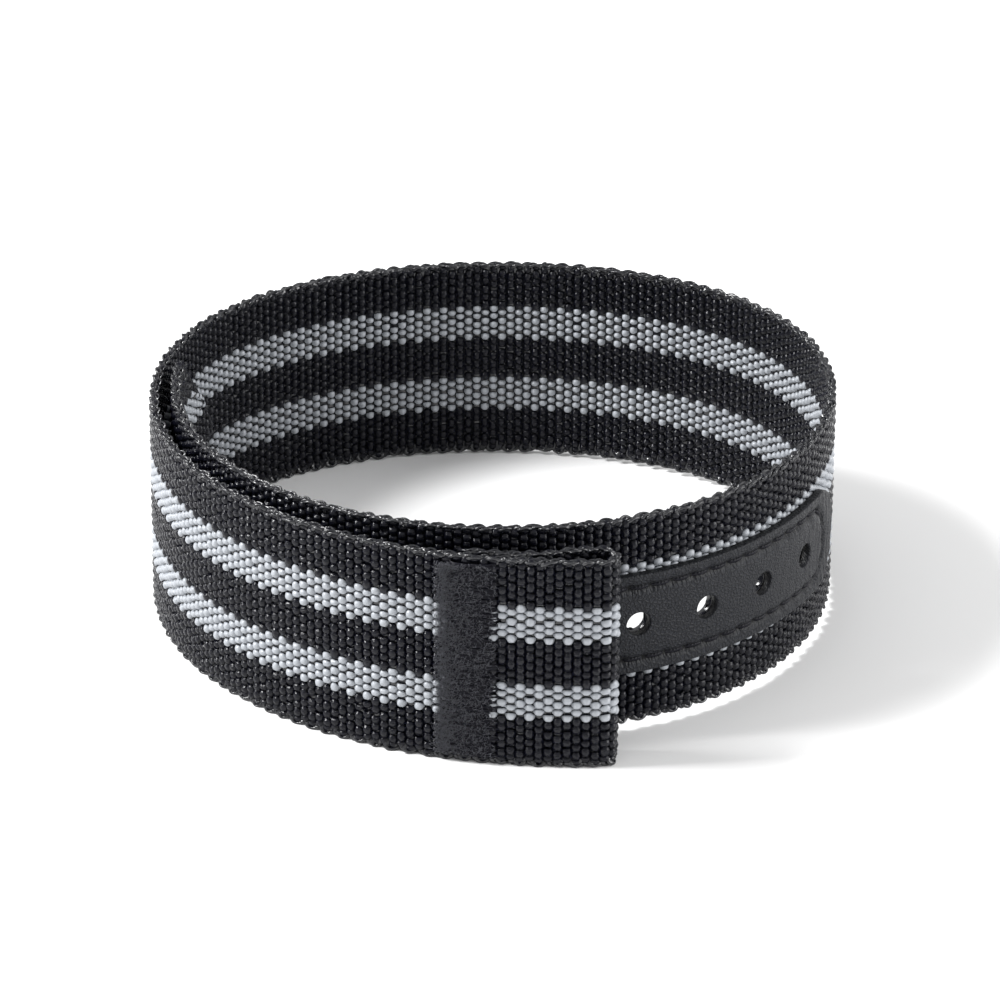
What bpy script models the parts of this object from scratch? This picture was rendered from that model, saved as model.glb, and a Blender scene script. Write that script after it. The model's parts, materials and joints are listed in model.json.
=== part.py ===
"""Canvas watch strap, coiled about one and a third turns and standing on its lower edge.

The strap is one length of striped woven webbing. Its outer end is folded back and bar tacked into a
loop for a buckle's bar. A leather patch is stitched to the outer face near the other end, and a row
of holes is punched through both. The webbing bends all along its length, so it is cut here into short
stiff lengths, with an upright hinge line in the middle of the cloth between each two.

Every piece is drawn flat first, in strap coordinates: x runs along the strap from the fold towards
the tip, y points out of the coil, and z is the height. It is then bent along the coil's centre line.
Units are metres, +Z is up, and the origin is under the middle of the part, on the floor.
"""

import math

import bmesh
import bpy
from mathutils import Vector

# Webbing
WEBBING_WIDTH = 0.0220
WEBBING_THICKNESS = 0.0010
SELVEDGE_BEVEL = 0.0002
STRAP_LENGTH = 0.2945
TIP_LENGTH = 0.0095
TIP_POWER = 1.3
TIP_STEPS = 6

# Coil, seen from above
COIL_RADIUS = 0.0354
THREE_SIDED_SHARE = 0.104
FOUR_SIDED_SHARE = 0.095
LOOP_RUN_RADIUS = 0.0490
EASE_TURN = math.radians(40.0)
FOLD_HEADING = math.radians(184.4)
INNER_LAYER_RISE = 0.0010
RISE_START = 0.0900
RISE_END = 0.2050

# Folded loop end
FLAP_LENGTH = 0.0156
LOOP_EYE = 0.0018
EYE_TAPER = 0.0090

# Bar tack
TACK_FROM_FOLD = 0.0109
TACK_LENGTH = 0.0050
TACK_HEIGHT = 0.0200
TACK_THICKNESS = 0.0002

# Leather patch and its holes
PATCH_HEIGHT = 0.0104
PATCH_THICKNESS = 0.0007
PATCH_END_DEPTH = 0.0042
PATCH_END_STEPS = 8
PATCH_START = 0.1845
PATCH_TAIL = 0.0090
HOLE_COUNT = 10
HOLE_PITCH = 0.00747
HOLE_FROM_END = 0.0080
HOLE_RADIUS = 0.0012
HOLE_SIDES = 16

# Patch seam
SEAM_INSET = 0.0014
SEAM_END_INSET = 0.0032
THREAD_WIDTH = 0.00035
THREAD_THICKNESS = 0.0003

# Clearances
SEAT_GAP = 0.0002
LAYER_CLEARANCE = 0.00025
HINGE_GAP = 0.0003

# Hinge lines
FIRST_HINGE_CLEARANCE = 0.0011
PLAIN_LENGTHS = 8
HOLES_PER_LENGTH = 3

# Facets
FACET_LENGTH = 0.0025
WALK_STEP = 0.0001
FOLD_FACETS = 8
CUT_OVERRUN = 0.0005

# Each layer step is what lies between the middles of two neighbouring turns of webbing.
LAYER_STEP = WEBBING_THICKNESS + SEAT_GAP + PATCH_THICKNESS + LAYER_CLEARANCE
LOOP_STEP = LAYER_STEP + WEBBING_THICKNESS + TACK_THICKNESS + 2.0 * SEAT_GAP
EASE_RADIUS = (LOOP_STEP - LAYER_STEP) / (1.0 - math.cos(EASE_TURN))
FOLD_RADIUS = 0.5 * (WEBBING_THICKNESS + LOOP_EYE)
FACE = 0.5 * WEBBING_THICKNESS

FIRST_HINGE = TACK_FROM_FOLD + TACK_LENGTH + FIRST_HINGE_CLEARANCE
FIRST_HOLE = PATCH_START + HOLE_FROM_END
LAST_HOLE = FIRST_HOLE + (HOLE_COUNT - 1) * HOLE_PITCH
PATCH_END = LAST_HOLE + PATCH_TAIL
PATCH_HINGE = PATCH_START - HINGE_GAP
TIP_HINGE = PATCH_END + HINGE_GAP


def unit(angle):
    """Give the plan direction that points along an angle."""
    return Vector((math.cos(angle), math.sin(angle)))


class Route:
    """A plan curve made of short straight facets, with places between them found by their length."""

    def __init__(self, lengths, points, normals):
        self.lengths = lengths
        self.points = points
        self.normals = normals

    def place(self, length, outward):
        """Give the plan point at a length along the route and a distance out of it."""
        index = 0
        last = len(self.lengths) - 2
        while index < last and self.lengths[index + 1] < length:
            index += 1
        span = self.lengths[index + 1] - self.lengths[index]
        share = (length - self.lengths[index]) / span
        point = self.points[index].lerp(self.points[index + 1], share)
        normal = self.normals[index].lerp(self.normals[index + 1], share)
        return point + outward * normal


def bend_radius(length, turn, heading):
    """Give the centre line's bend radius, the outer end being straighter than the round coil."""
    if length < FLAP_LENGTH:
        return LOOP_RUN_RADIUS
    loop_turn = FLAP_LENGTH / LOOP_RUN_RADIUS
    turn_past_loop = turn - loop_turn
    wobble = THREE_SIDED_SHARE * math.cos(3.0 * heading) + FOUR_SIDED_SHARE * math.cos(4.0 * heading)
    radius = COIL_RADIUS * (1.0 + wobble) - LAYER_STEP * turn_past_loop / math.tau
    if turn_past_loop < EASE_TURN:
        radius += EASE_RADIUS
    return radius


def walk_coil():
    """Walk the coil clockwise from the fold to the tip, and keep a point at each facet's end."""
    steps_per_facet = round(FACET_LENGTH / WALK_STEP)
    point = Vector((0.0, 0.0))
    heading = FOLD_HEADING
    lengths = []
    points = []
    normals = []
    turns = []
    step = 0
    length = 0.0
    while length < STRAP_LENGTH + FACET_LENGTH:
        if step % steps_per_facet == 0:
            lengths.append(length)
            points.append(point.copy())
            normals.append(unit(heading + 0.5 * math.pi))
            turns.append(FOLD_HEADING - heading)
        step += 1
        length = step * WALK_STEP
        bend = WALK_STEP / bend_radius(length, FOLD_HEADING - heading, heading)
        point += WALK_STEP * unit(heading - 0.5 * bend)
        heading -= bend
    return Route(lengths, points, normals), turns


COIL, COIL_TURNS = walk_coil()


def turn_at(length):
    """Give how far the coil has turned from the fold to a length along the strap."""
    index = min(int(length / FACET_LENGTH), len(COIL_TURNS) - 2)
    share = length / FACET_LENGTH - index
    return COIL_TURNS[index] + share * (COIL_TURNS[index + 1] - COIL_TURNS[index])


def smooth(share):
    """Ease from 0 to 1 as the share goes from 0 to 1, and stay level outside them."""
    share = min(max(share, 0.0), 1.0)
    return share * share * (3.0 - 2.0 * share)


def flap_step(length):
    """Give the distance in from the outer run's middle to the flap's, wide at the fold."""
    closed = WEBBING_THICKNESS + SEAT_GAP
    opened = 2.0 * FOLD_RADIUS
    return opened + (closed - opened) * smooth((length - FOLD_RADIUS) / EYE_TAPER)


def walk_loop():
    """Give the route of the folded end: in along the flap, round the fold and out to the first hinge.

    Lengths are those of the outer run past the fold, and run below the fold's own length on the flap.
    """
    facets = math.ceil((FLAP_LENGTH - FOLD_RADIUS) / FACET_LENGTH)
    run_lengths = [FOLD_RADIUS + (FLAP_LENGTH - FOLD_RADIUS) * index / facets for index in range(facets + 1)]
    fold_start = COIL.place(FOLD_RADIUS, 0.0)
    outward = (COIL.place(FOLD_RADIUS, FACE) - fold_start).normalized()
    towards_fold = Vector((outward.y, -outward.x)) * -1.0
    centre = fold_start - FOLD_RADIUS * outward
    lengths = []
    points = []
    normals = []
    fold_length = math.pi * FOLD_RADIUS
    for run in reversed(run_lengths[1:]):
        lengths.append(2.0 * FOLD_RADIUS - fold_length - run)
        step = flap_step(run)
        points.append(COIL.place(run, -step))
        inner = COIL.place(run, -step - FACE)
        normals.append((inner - points[-1]).normalized())
    for index in range(FOLD_FACETS + 1):
        angle = math.pi * (1.0 - index / FOLD_FACETS)
        direction = math.cos(angle) * outward + math.sin(angle) * towards_fold
        lengths.append(FOLD_RADIUS - fold_length * (1.0 - index / FOLD_FACETS))
        points.append(centre + FOLD_RADIUS * direction)
        normals.append(direction)
    past = [length for length in COIL.lengths if FOLD_RADIUS < length < FIRST_HINGE + FACET_LENGTH]
    for length in past:
        lengths.append(length)
        points.append(COIL.place(length, 0.0))
        normals.append((COIL.place(length, FACE) - points[-1]).normalized())
    return Route(lengths, points, normals)


LOOP = walk_loop()
FLAP_END = LOOP.lengths[0]


def rise_at(length):
    """Give how far the webbing's lower edge has climbed off the floor at a length along the strap."""
    return INNER_LAYER_RISE * smooth((length - RISE_START) / (RISE_END - RISE_START))


def hinge_lengths():
    """List the hinge lines by their length from the fold, clear of the tack and of every hole."""
    plain_pitch = (PATCH_HINGE - FIRST_HINGE) / PLAIN_LENGTHS
    hinges = [FIRST_HINGE + plain_pitch * index for index in range(PLAIN_LENGTHS)]
    hinges.append(PATCH_HINGE)
    hole = HOLES_PER_LENGTH
    while hole < HOLE_COUNT:
        hinges.append(FIRST_HOLE + (hole - 0.5) * HOLE_PITCH)
        hole += HOLES_PER_LENGTH
    hinges.append(TIP_HINGE)
    return hinges


HINGES = hinge_lengths()


def body_turn(index):
    """Give the turn of one stiff length of the strap, between its two ends."""
    start = HINGES[index - 1] if index > 0 else 0.0
    end = HINGES[index] if index < len(HINGES) else STRAP_LENGTH
    return turn_at(end) - turn_at(start)


def hinge_angle(index):
    """Give the angle that straightens the strap at one hinge: half of each neighbour's turn."""
    return 0.5 * (body_turn(index) + body_turn(index + 1))


class Stretch:
    """One stiff length of the strap, with how far a piece on it is cut back at either end."""

    def __init__(self, index):
        self.index = index
        self.start = HINGES[index - 1] if index > 0 else FLAP_END
        self.end = HINGES[index] if index < len(HINGES) else STRAP_LENGTH
        self.has_start = index > 0
        self.has_end = index < len(HINGES)

    def trim(self, length, outward):
        """Move a point at a hinged end back, more so outward, so that the joint can straighten."""
        wedge = max(outward, 0.0)
        if self.has_start and abs(length - self.start) < WALK_STEP:
            return length + 0.5 * HINGE_GAP + wedge * math.tan(0.5 * hinge_angle(self.index - 1))
        if self.has_end and abs(length - self.end) < WALK_STEP:
            return length - 0.5 * HINGE_GAP - wedge * math.tan(0.5 * hinge_angle(self.index))
        return length


def principled(name, colour, roughness):
    """Make a plain material with a colour and a roughness."""
    material = bpy.data.materials.new(name)
    material.use_nodes = True
    shader = material.node_tree.nodes["Principled BSDF"]
    shader.inputs["Base Color"].default_value = (*colour, 1.0)
    shader.inputs["Roughness"].default_value = roughness
    return material


def slab(outline, inner, outer, bevel, keep_square):
    """Extrude a flat outline of (length, height) points from one distance out of the coil to another.

    The rim is bevelled, apart from the edges at the lengths in keep_square.
    """
    mesh = bmesh.new()
    corners = [mesh.verts.new((length, inner, height)) for length, height in outline]
    face = mesh.faces.new(corners)
    raised = bmesh.ops.extrude_face_region(mesh, geom=[face])
    moved = [item for item in raised["geom"] if isinstance(item, bmesh.types.BMVert)]
    bmesh.ops.translate(mesh, verts=moved, vec=(0.0, outer - inner, 0.0))
    bmesh.ops.recalc_face_normals(mesh, faces=mesh.faces)
    if bevel > 0.0:
        rim = []
        for edge in mesh.edges:
            first, second = (vert.co for vert in edge.verts)
            level = abs(first.y - second.y) < WALK_STEP
            hinged = any(max(abs(first.x - x), abs(second.x - x)) < WALK_STEP for x in keep_square)
            if level and not hinged:
                rim.append(edge)
        bmesh.ops.bevel(
            mesh, geom=rim, offset=bevel, offset_type="OFFSET", segments=1, profile=0.5,
            affect="EDGES", clamp_overlap=True, material=-1)
    return mesh


def ribbon(path, inner, outer, width):
    """Make a square-sectioned strand along an open flat path of (length, height) points."""
    left = []
    right = []
    for index, point in enumerate(path):
        before = Vector(path[max(index - 1, 0)])
        after = Vector(path[min(index + 1, len(path) - 1)])
        along = (after - before).normalized()
        side = 0.5 * width * Vector((-along.y, along.x))
        left.append(tuple(Vector(point) + side))
        right.append(tuple(Vector(point) - side))
    return slab(left + right[::-1], inner, outer, 0.0, ())


def to_object(mesh, name):
    """Turn a bmesh into an object in the scene."""
    data = bpy.data.meshes.new(name)
    mesh.to_mesh(data)
    mesh.free()
    item = bpy.data.objects.new(name, data)
    bpy.context.scene.collection.objects.link(item)
    return item


def cut(item, cutters):
    """Cut a flat piece with each cutter, and keep the result as the piece's own mesh."""
    for cutter in cutters:
        modifier = item.modifiers.new("cut", "BOOLEAN")
        modifier.object = cutter
        modifier.operation = "DIFFERENCE"
    graph = bpy.context.evaluated_depsgraph_get()
    result = bpy.data.meshes.new_from_object(item.evaluated_get(graph))
    item.modifiers.clear()
    item.data = result
    for cutter in cutters:
        bpy.data.objects.remove(cutter)


def bend(item, route, stretch):
    """Cut a flat piece across at each facet line of its route, then wrap it round the route."""
    mesh = bmesh.new()
    mesh.from_mesh(item.data)
    for vert in mesh.verts:
        vert.co.x = stretch.trim(vert.co.x, vert.co.y)
    low = min(vert.co.x for vert in mesh.verts)
    high = max(vert.co.x for vert in mesh.verts)
    for length in route.lengths:
        if low + WALK_STEP < length < high - WALK_STEP:
            geometry = mesh.verts[:] + mesh.edges[:] + mesh.faces[:]
            bmesh.ops.bisect_plane(mesh, geom=geometry, plane_co=(length, 0.0, 0.0), plane_no=(1.0, 0.0, 0.0))
    for vert in mesh.verts:
        length, outward, height = vert.co
        place = route.place(length, outward)
        vert.co = (place.x, place.y, height + rise_at(length))
    mesh.to_mesh(item.data)
    mesh.free()


def hole_cutter(length):
    """Make a round bar through the webbing and the patch at a length along the strap."""
    mesh = bmesh.new()
    reach = 2.0 * (LAYER_STEP + CUT_OVERRUN)
    bmesh.ops.create_cone(
        mesh, cap_ends=True, segments=HOLE_SIDES, radius1=HOLE_RADIUS, radius2=HOLE_RADIUS, depth=reach)
    for vert in mesh.verts:
        vert.co = (length + vert.co.x, vert.co.z, 0.5 * WEBBING_WIDTH - vert.co.y)
    return to_object(mesh, "hole_cutter")


def hole_cutters(stretch):
    """Make the bars for the holes that lie on one stretch."""
    places = [FIRST_HOLE + HOLE_PITCH * index for index in range(HOLE_COUNT)]
    return [hole_cutter(place) for place in places if stretch.start < place < stretch.end]


def tip_outline(start):
    """Outline the last stretch, whose end narrows to a blunt point."""
    corner = STRAP_LENGTH - TIP_LENGTH
    half = 0.5 * WEBBING_WIDTH
    lower = []
    for index in range(TIP_STEPS):
        share = 1.0 - index / TIP_STEPS
        lower.append((corner + TIP_LENGTH * (1.0 - share ** TIP_POWER), half - half * share))
    upper = [(length, WEBBING_WIDTH - height) for length, height in reversed(lower)]
    return [(start, 0.0), *lower, (STRAP_LENGTH, half), *upper, (start, WEBBING_WIDTH)]


def make_webbing(stretch, name):
    """Make the webbing of one stretch, with its share of the holes."""
    if stretch.has_end:
        outline = [
            (stretch.start, 0.0), (stretch.end, 0.0),
            (stretch.end, WEBBING_WIDTH), (stretch.start, WEBBING_WIDTH)]
    else:
        outline = tip_outline(stretch.start)
    hinged = [stretch.start, stretch.end] if stretch.has_end else [stretch.start]
    item = to_object(slab(outline, -FACE, FACE, SELVEDGE_BEVEL, hinged), name)
    cut(item, hole_cutters(stretch))
    bend(item, COIL if stretch.has_start else LOOP, stretch)
    return item


def rounded_end(near, far, half_height):
    """List the points of a patch's round end, from its lower edge to its upper one."""
    middle = 0.5 * WEBBING_WIDTH
    points = []
    for index in range(PATCH_END_STEPS + 1):
        angle = math.pi * (index / PATCH_END_STEPS - 0.5)
        points.append((near + (far - near) * math.cos(angle), middle + half_height * math.sin(angle)))
    return points


def patch_edge(stretch, inset, end_inset):
    """List the lower-to-upper points of each end of the patch on a stretch, drawn in by two insets.

    The first inset is from the patch's long edges, and the other one is from its round ends.
    """
    half = 0.5 * PATCH_HEIGHT - inset
    middle = 0.5 * WEBBING_WIDTH
    round_start = PATCH_END_DEPTH + end_inset - inset
    starts_here = stretch.start < PATCH_START < stretch.end
    ends_here = stretch.start < PATCH_END < stretch.end
    if starts_here:
        first = rounded_end(PATCH_START + round_start, PATCH_START + end_inset, half)
    else:
        first = [(stretch.start, middle - half), (stretch.start, middle + half)]
    if ends_here:
        last = rounded_end(PATCH_END - round_start, PATCH_END - end_inset, half)
    else:
        last = [(stretch.end, middle - half), (stretch.end, middle + half)]
    return first, last, starts_here, ends_here


def seam_paths(stretch):
    """List the seam's open paths on a stretch: one round an end of the patch, or two straight rows."""
    first, last, starts_here, ends_here = patch_edge(stretch, SEAM_INSET, SEAM_END_INSET)
    if starts_here:
        return [[last[0], *first, last[-1]]]
    if ends_here:
        return [[first[0], *last, first[-1]]]
    return [[first[0], last[0]], [first[-1], last[-1]]]


def lengthen(path):
    """Carry a path on past both of its ends, so that a groove cut along it runs right through."""
    start, second = Vector(path[0]), Vector(path[1])
    end, before = Vector(path[-1]), Vector(path[-2])
    first = start + CUT_OVERRUN * (start - second).normalized()
    last = end + CUT_OVERRUN * (end - before).normalized()
    return [tuple(first), *path, tuple(last)]


PATCH_FACE = FACE + SEAT_GAP + PATCH_THICKNESS
GROOVE_FLOOR = PATCH_FACE - THREAD_THICKNESS - SEAT_GAP


def make_patch(stretch, name):
    """Make the leather of one stretch, with its holes and the groove that the seam lies in."""
    first, last, _, _ = patch_edge(stretch, 0.0, 0.0)
    outline = [*reversed(first), *last]
    item = to_object(slab(outline, FACE + SEAT_GAP, PATCH_FACE, 0.0, ()), name)
    groove_width = THREAD_WIDTH + 2.0 * SEAT_GAP
    cutters = hole_cutters(stretch)
    for path in seam_paths(stretch):
        groove = ribbon(lengthen(path), GROOVE_FLOOR, PATCH_FACE + CUT_OVERRUN, groove_width)
        cutters.append(to_object(groove, "groove_cutter"))
    cut(item, cutters)
    bend(item, COIL, stretch)
    return item


def make_seam(stretch, path, inner, name):
    """Make one run of seam thread along a path, from a distance out of the coil."""
    item = to_object(ribbon(path, inner, inner + THREAD_THICKNESS, THREAD_WIDTH), name)
    bend(item, COIL, stretch)
    return item


def make_tack(stretch, name, on_flap):
    """Make the band of tack thread on the loop's outer face, or its underside on the flap."""
    low = 0.5 * (WEBBING_WIDTH - TACK_HEIGHT)
    high = low + TACK_HEIGHT
    start = TACK_FROM_FOLD
    end = TACK_FROM_FOLD + TACK_LENGTH
    if on_flap:
        fold = 2.0 * FOLD_RADIUS - math.pi * FOLD_RADIUS
        start, end = max(fold - end, FLAP_END), fold - start
    outline = [(start, low), (end, low), (end, high), (start, high)]
    item = to_object(slab(outline, FACE + SEAT_GAP, FACE + SEAT_GAP + TACK_THICKNESS, 0.0, ()), name)
    bend(item, LOOP, stretch)
    return item


def make_pieces():
    """Make every piece of every stretch, and list them by the stretch that carries them."""
    webbing = principled("webbing", (0.035, 0.035, 0.04), 0.75)
    leather = principled("leather", (0.045, 0.046, 0.05), 0.55)
    thread = principled("thread", (0.015, 0.015, 0.017), 0.5)
    bodies = []
    for index in range(len(HINGES) + 1):
        stretch = Stretch(index)
        number = f"{index + 1:02d}"
        pieces = [make_webbing(stretch, f"webbing_{number}")]
        pieces[0].data.materials.append(webbing)
        threads = []
        if index == 0:
            threads.append(make_tack(stretch, "tack_needle_thread", False))
            threads.append(make_tack(stretch, "tack_bobbin_thread", True))
        if PATCH_HINGE - WALK_STEP < stretch.start < PATCH_END:
            patch = make_patch(stretch, f"patch_{number}")
            patch.data.materials.append(leather)
            pieces.append(patch)
            paths = seam_paths(stretch)
            rows = ("lower", "upper") if len(paths) > 1 else ("round",)
            for row, path in zip(rows, paths):
                needle = PATCH_FACE - THREAD_THICKNESS
                bobbin = -FACE - SEAT_GAP - THREAD_THICKNESS
                threads.append(make_seam(stretch, path, needle, f"seam_needle_{number}_{row}"))
                threads.append(make_seam(stretch, path, bobbin, f"seam_bobbin_{number}_{row}"))
        for item in threads:
            item.data.materials.append(thread)
        bodies.append(pieces + threads)
    return bodies


def root_index():
    """Find the stretch at the back of the coil, which the two arms of the strap spring from."""
    back = FOLD_HEADING
    return next(index for index, hinge in enumerate(HINGES) if turn_at(hinge) > back)


def add_empty(name, location):
    """Add an empty that marks a joint's axis."""
    empty = bpy.data.objects.new(name, None)
    empty.location = location
    bpy.context.scene.collection.objects.link(empty)
    return empty


def hang(item, parent, origin):
    """Parent an object so that its own origin lies on its parent's, with its shape left in place."""
    if item.data is not None:
        for vert in item.data.vertices:
            vert.co -= origin
        item.location = (0.0, 0.0, 0.0)
    item.parent = parent


def rig(bodies):
    """Hang each stretch on its hinge, chained outward both ways from the root at the back."""
    root = root_index()
    top = add_empty("strap", (0.0, 0.0, 0.0))
    axes = {}
    for index, hinge in enumerate(HINGES):
        place = COIL.place(hinge, 0.0)
        axes[index] = Vector((place.x, place.y, 0.0))
    for item in bodies[root]:
        hang(item, top, Vector((0.0, 0.0, 0.0)))
    for step, order in ((-1, range(root - 1, -1, -1)), (1, range(root + 1, len(bodies)))):
        parent = top
        previous = Vector((0.0, 0.0, 0.0))
        for index in order:
            hinge = index if step < 0 else index - 1
            axis = axes[hinge]
            empty = add_empty(f"hinge_{hinge + 1:02d}", axis - previous)
            hang(empty, parent, previous)
            for item in bodies[index]:
                hang(item, empty, axis)
            parent = empty
            previous = axis
    return top


def stand_on_origin(top, bodies):
    """Move the whole strap so that the middle of its box is over the origin and it rests on z = 0."""
    bpy.context.view_layer.update()
    corners = [item.matrix_world @ vert.co for body in bodies for item in body for vert in item.data.vertices]
    low = [min(corner[axis] for corner in corners) for axis in range(3)]
    high = [max(corner[axis] for corner in corners) for axis in range(3)]
    top.location = (-0.5 * (low[0] + high[0]), -0.5 * (low[1] + high[1]), -low[2])
    bpy.context.view_layer.update()


def main():
    """Build the strap."""
    for item in list(bpy.data.objects):
        bpy.data.objects.remove(item)
    bodies = make_pieces()
    top = rig(bodies)
    stand_on_origin(top, bodies)


main()
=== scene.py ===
"""The looks of a coiled canvas watch strap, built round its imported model.

The webbing is woven out of its own yarns. A leather patch is stitched to it near the tip, and a bar tack
closes the loop at the other end. Each piece is drawn flat first, in strap coordinates: x runs along the
strap from the fold to the tip, y points out of the coil and z is the height. It is then bent along the
coil's middle line. Lengths are in metres, and the strap stands on its lower edge with +Z up.
"""

import json
import logging
import math
from collections.abc import Callable, Sequence
from dataclasses import dataclass
from enum import Enum

import bmesh
import bpy
import numpy as np
from mathutils import Matrix, Vector


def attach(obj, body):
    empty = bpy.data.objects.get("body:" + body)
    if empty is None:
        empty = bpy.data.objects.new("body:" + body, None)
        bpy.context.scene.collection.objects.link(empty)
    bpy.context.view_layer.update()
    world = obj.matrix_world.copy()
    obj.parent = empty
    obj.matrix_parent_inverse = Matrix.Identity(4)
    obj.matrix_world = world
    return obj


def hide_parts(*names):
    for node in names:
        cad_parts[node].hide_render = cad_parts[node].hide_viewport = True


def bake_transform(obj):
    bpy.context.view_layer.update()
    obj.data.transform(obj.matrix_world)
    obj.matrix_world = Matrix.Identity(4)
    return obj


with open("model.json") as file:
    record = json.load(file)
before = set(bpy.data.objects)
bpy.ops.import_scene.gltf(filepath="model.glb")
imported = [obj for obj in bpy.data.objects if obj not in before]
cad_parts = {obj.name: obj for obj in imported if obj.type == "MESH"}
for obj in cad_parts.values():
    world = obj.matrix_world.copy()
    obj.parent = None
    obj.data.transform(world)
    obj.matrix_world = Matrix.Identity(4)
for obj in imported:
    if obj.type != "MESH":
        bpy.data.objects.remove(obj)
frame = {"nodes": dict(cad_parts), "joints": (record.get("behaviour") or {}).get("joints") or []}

LOG = logging.getLogger("watch_strap")
# Added to a length that may be nought before it divides.
SMALLEST = 1e-12
# The mix node's colour sockets, which share their names with its other sockets.
FIRST_COLOUR = 6
SECOND_COLOUR = 7
MIXED_COLOUR = 2


def ease(share: np.ndarray) -> np.ndarray:
    """Ease from 0 to 1 as the share goes from 0 to 1, and stay level outside them."""
    share = np.clip(share, 0.0, 1.0)
    return share * share * (3.0 - 2.0 * share)


def unit(angle: float) -> np.ndarray:
    """Give the plan direction that points along an angle."""
    return np.array((math.cos(angle), math.sin(angle)))


@dataclass
class StrapLine:
    """The middle line of the cloth, in along the flap, round the fold and along the coil to the tip.

    A run is a length along the outer cloth from the fold. It is below the fold's radius on the fold
    and on the flap.
    """

    cloth_thickness: float = 0.0010
    width: float = 0.0220
    length: float = 0.2945
    coil_radius: float = 0.0354
    three_sided_share: float = 0.104
    four_sided_share: float = 0.095
    loop_run_radius: float = 0.0490
    ease_turn: float = math.radians(40.0)
    fold_heading: float = math.radians(184.4)
    inner_rise: float = 0.0010
    rise_start: float = 0.0900
    rise_end: float = 0.2050
    flap_length: float = 0.0156
    loop_eye: float = 0.0018
    eye_taper: float = 0.0090
    seat_gap: float = 0.0002
    patch_thickness: float = 0.0007
    layer_clearance: float = 0.00025
    tack_thickness: float = 0.0002
    walk_step: float = 0.0001
    fold_steps: int = 44

    def __post_init__(self) -> None:
        """Work out the steps between layers, then walk the line."""
        self.layer_step = self.cloth_thickness + self.seat_gap + self.patch_thickness + self.layer_clearance
        loop_gap = self.cloth_thickness + self.tack_thickness + 2.0 * self.seat_gap
        self.ease_radius = loop_gap / (1.0 - math.cos(self.ease_turn))
        self.fold_radius = 0.5 * (self.cloth_thickness + self.loop_eye)
        self.flap_start = float(self.opposite(self.flap_length))
        self.origin = np.zeros(2)
        self.walk_coil()
        self.add_loop()

    @property
    def half_width(self) -> float:
        """Give half the strap's width, which is the height of its middle."""
        return 0.5 * self.width

    def opposite(self, runs: np.ndarray | float) -> np.ndarray | float:
        """Give the runs on the flap that lie behind runs on the outer cloth, or the other way round."""
        return 2.0 * self.fold_radius - math.pi * self.fold_radius - runs

    def bend_radius(self, run: float, turn: float, heading: float) -> float:
        """Give the bend radius of the middle line.

        Args:
            run: length from the fold.
            turn: how far the line has turned since the fold.
            heading: plan direction of the line there.

        Returns:
            The radius, larger along the loop than round the coil.
        """
        if run < self.flap_length:
            return self.loop_run_radius
        past = turn - self.flap_length / self.loop_run_radius
        wobble = self.three_sided_share * math.cos(3.0 * heading)
        wobble += self.four_sided_share * math.cos(4.0 * heading)
        radius = self.coil_radius * (1.0 + wobble) - self.layer_step * past / math.tau
        if past < self.ease_turn:
            radius += self.ease_radius
        return radius

    def walk_coil(self) -> None:
        """Walk the outer cloth clockwise from the fold to just past the tip."""
        steps = math.ceil((self.length + self.eye_taper) / self.walk_step)
        point = np.zeros(2)
        heading = self.fold_heading
        points = [point]
        headings = [heading]
        for step in range(1, steps):
            run = step * self.walk_step
            bend = self.walk_step / self.bend_radius(run, self.fold_heading - heading, heading)
            point = point + self.walk_step * unit(heading - 0.5 * bend)
            heading -= bend
            points.append(point)
            headings.append(heading)
        self.coil_runs = self.walk_step * np.arange(steps)
        self.coil_points = np.array(points)
        self.coil_headings = np.array(headings)

    def on_coil(self, runs: np.ndarray, outward: np.ndarray) -> np.ndarray:
        """Give the plan points at lengths along the outer cloth and distances out of it.

        Args:
            runs: lengths from the fold.
            outward: distances out of the coil from the middle line.

        Returns:
            Rows of x and y, before the line is set in the frame.
        """
        headings = np.interp(runs, self.coil_runs, self.coil_headings)
        across = np.interp(runs, self.coil_runs, self.coil_points[:, 0]) - outward * np.sin(headings)
        deep = np.interp(runs, self.coil_runs, self.coil_points[:, 1]) + outward * np.cos(headings)
        return np.stack((across, deep), axis=-1)

    def flap_step(self, runs: np.ndarray) -> np.ndarray:
        """Give the distance in from the outer cloth's middle to the flap's, wide at the fold."""
        closed = self.cloth_thickness + self.seat_gap
        opened = 2.0 * self.fold_radius
        return opened + (closed - opened) * ease((runs - self.fold_radius) / self.eye_taper)

    def add_loop(self) -> None:
        """Put the flap and the fold before the coil, and find the outward direction all along."""
        flap_runs = np.arange(self.flap_length, self.fold_radius, -self.walk_step)
        flap = self.on_coil(flap_runs, -self.flap_step(flap_runs))
        fold_end = self.on_coil(np.array([self.fold_radius]), np.zeros(1))[0]
        heading = float(np.interp(self.fold_radius, self.coil_runs, self.coil_headings))
        outward = unit(heading + 0.5 * math.pi)
        forward = unit(heading)
        angles = np.linspace(math.pi, 0.0, self.fold_steps + 1)
        reach = self.fold_radius * np.stack((np.cos(angles) - 1.0, -np.sin(angles)), axis=-1)
        fold = fold_end + reach[:, :1] * outward + reach[:, 1:] * forward
        past = self.coil_runs > self.fold_radius
        around = self.fold_radius * (1.0 - angles)
        self.runs = np.concatenate((self.opposite(flap_runs), around, self.coil_runs[past]))
        self.points = np.concatenate((flap, fold, self.coil_points[past]))
        along = np.gradient(self.points, self.runs, axis=0)
        along /= np.linalg.norm(along, axis=1, keepdims=True)
        self.outward = np.stack((-along[:, 1], along[:, 0]), axis=-1)

    def rise(self, runs: np.ndarray) -> np.ndarray:
        """Give how far the lower edge has climbed off the floor at lengths along the strap."""
        return self.inner_rise * ease((runs - self.rise_start) / (self.rise_end - self.rise_start))

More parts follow.
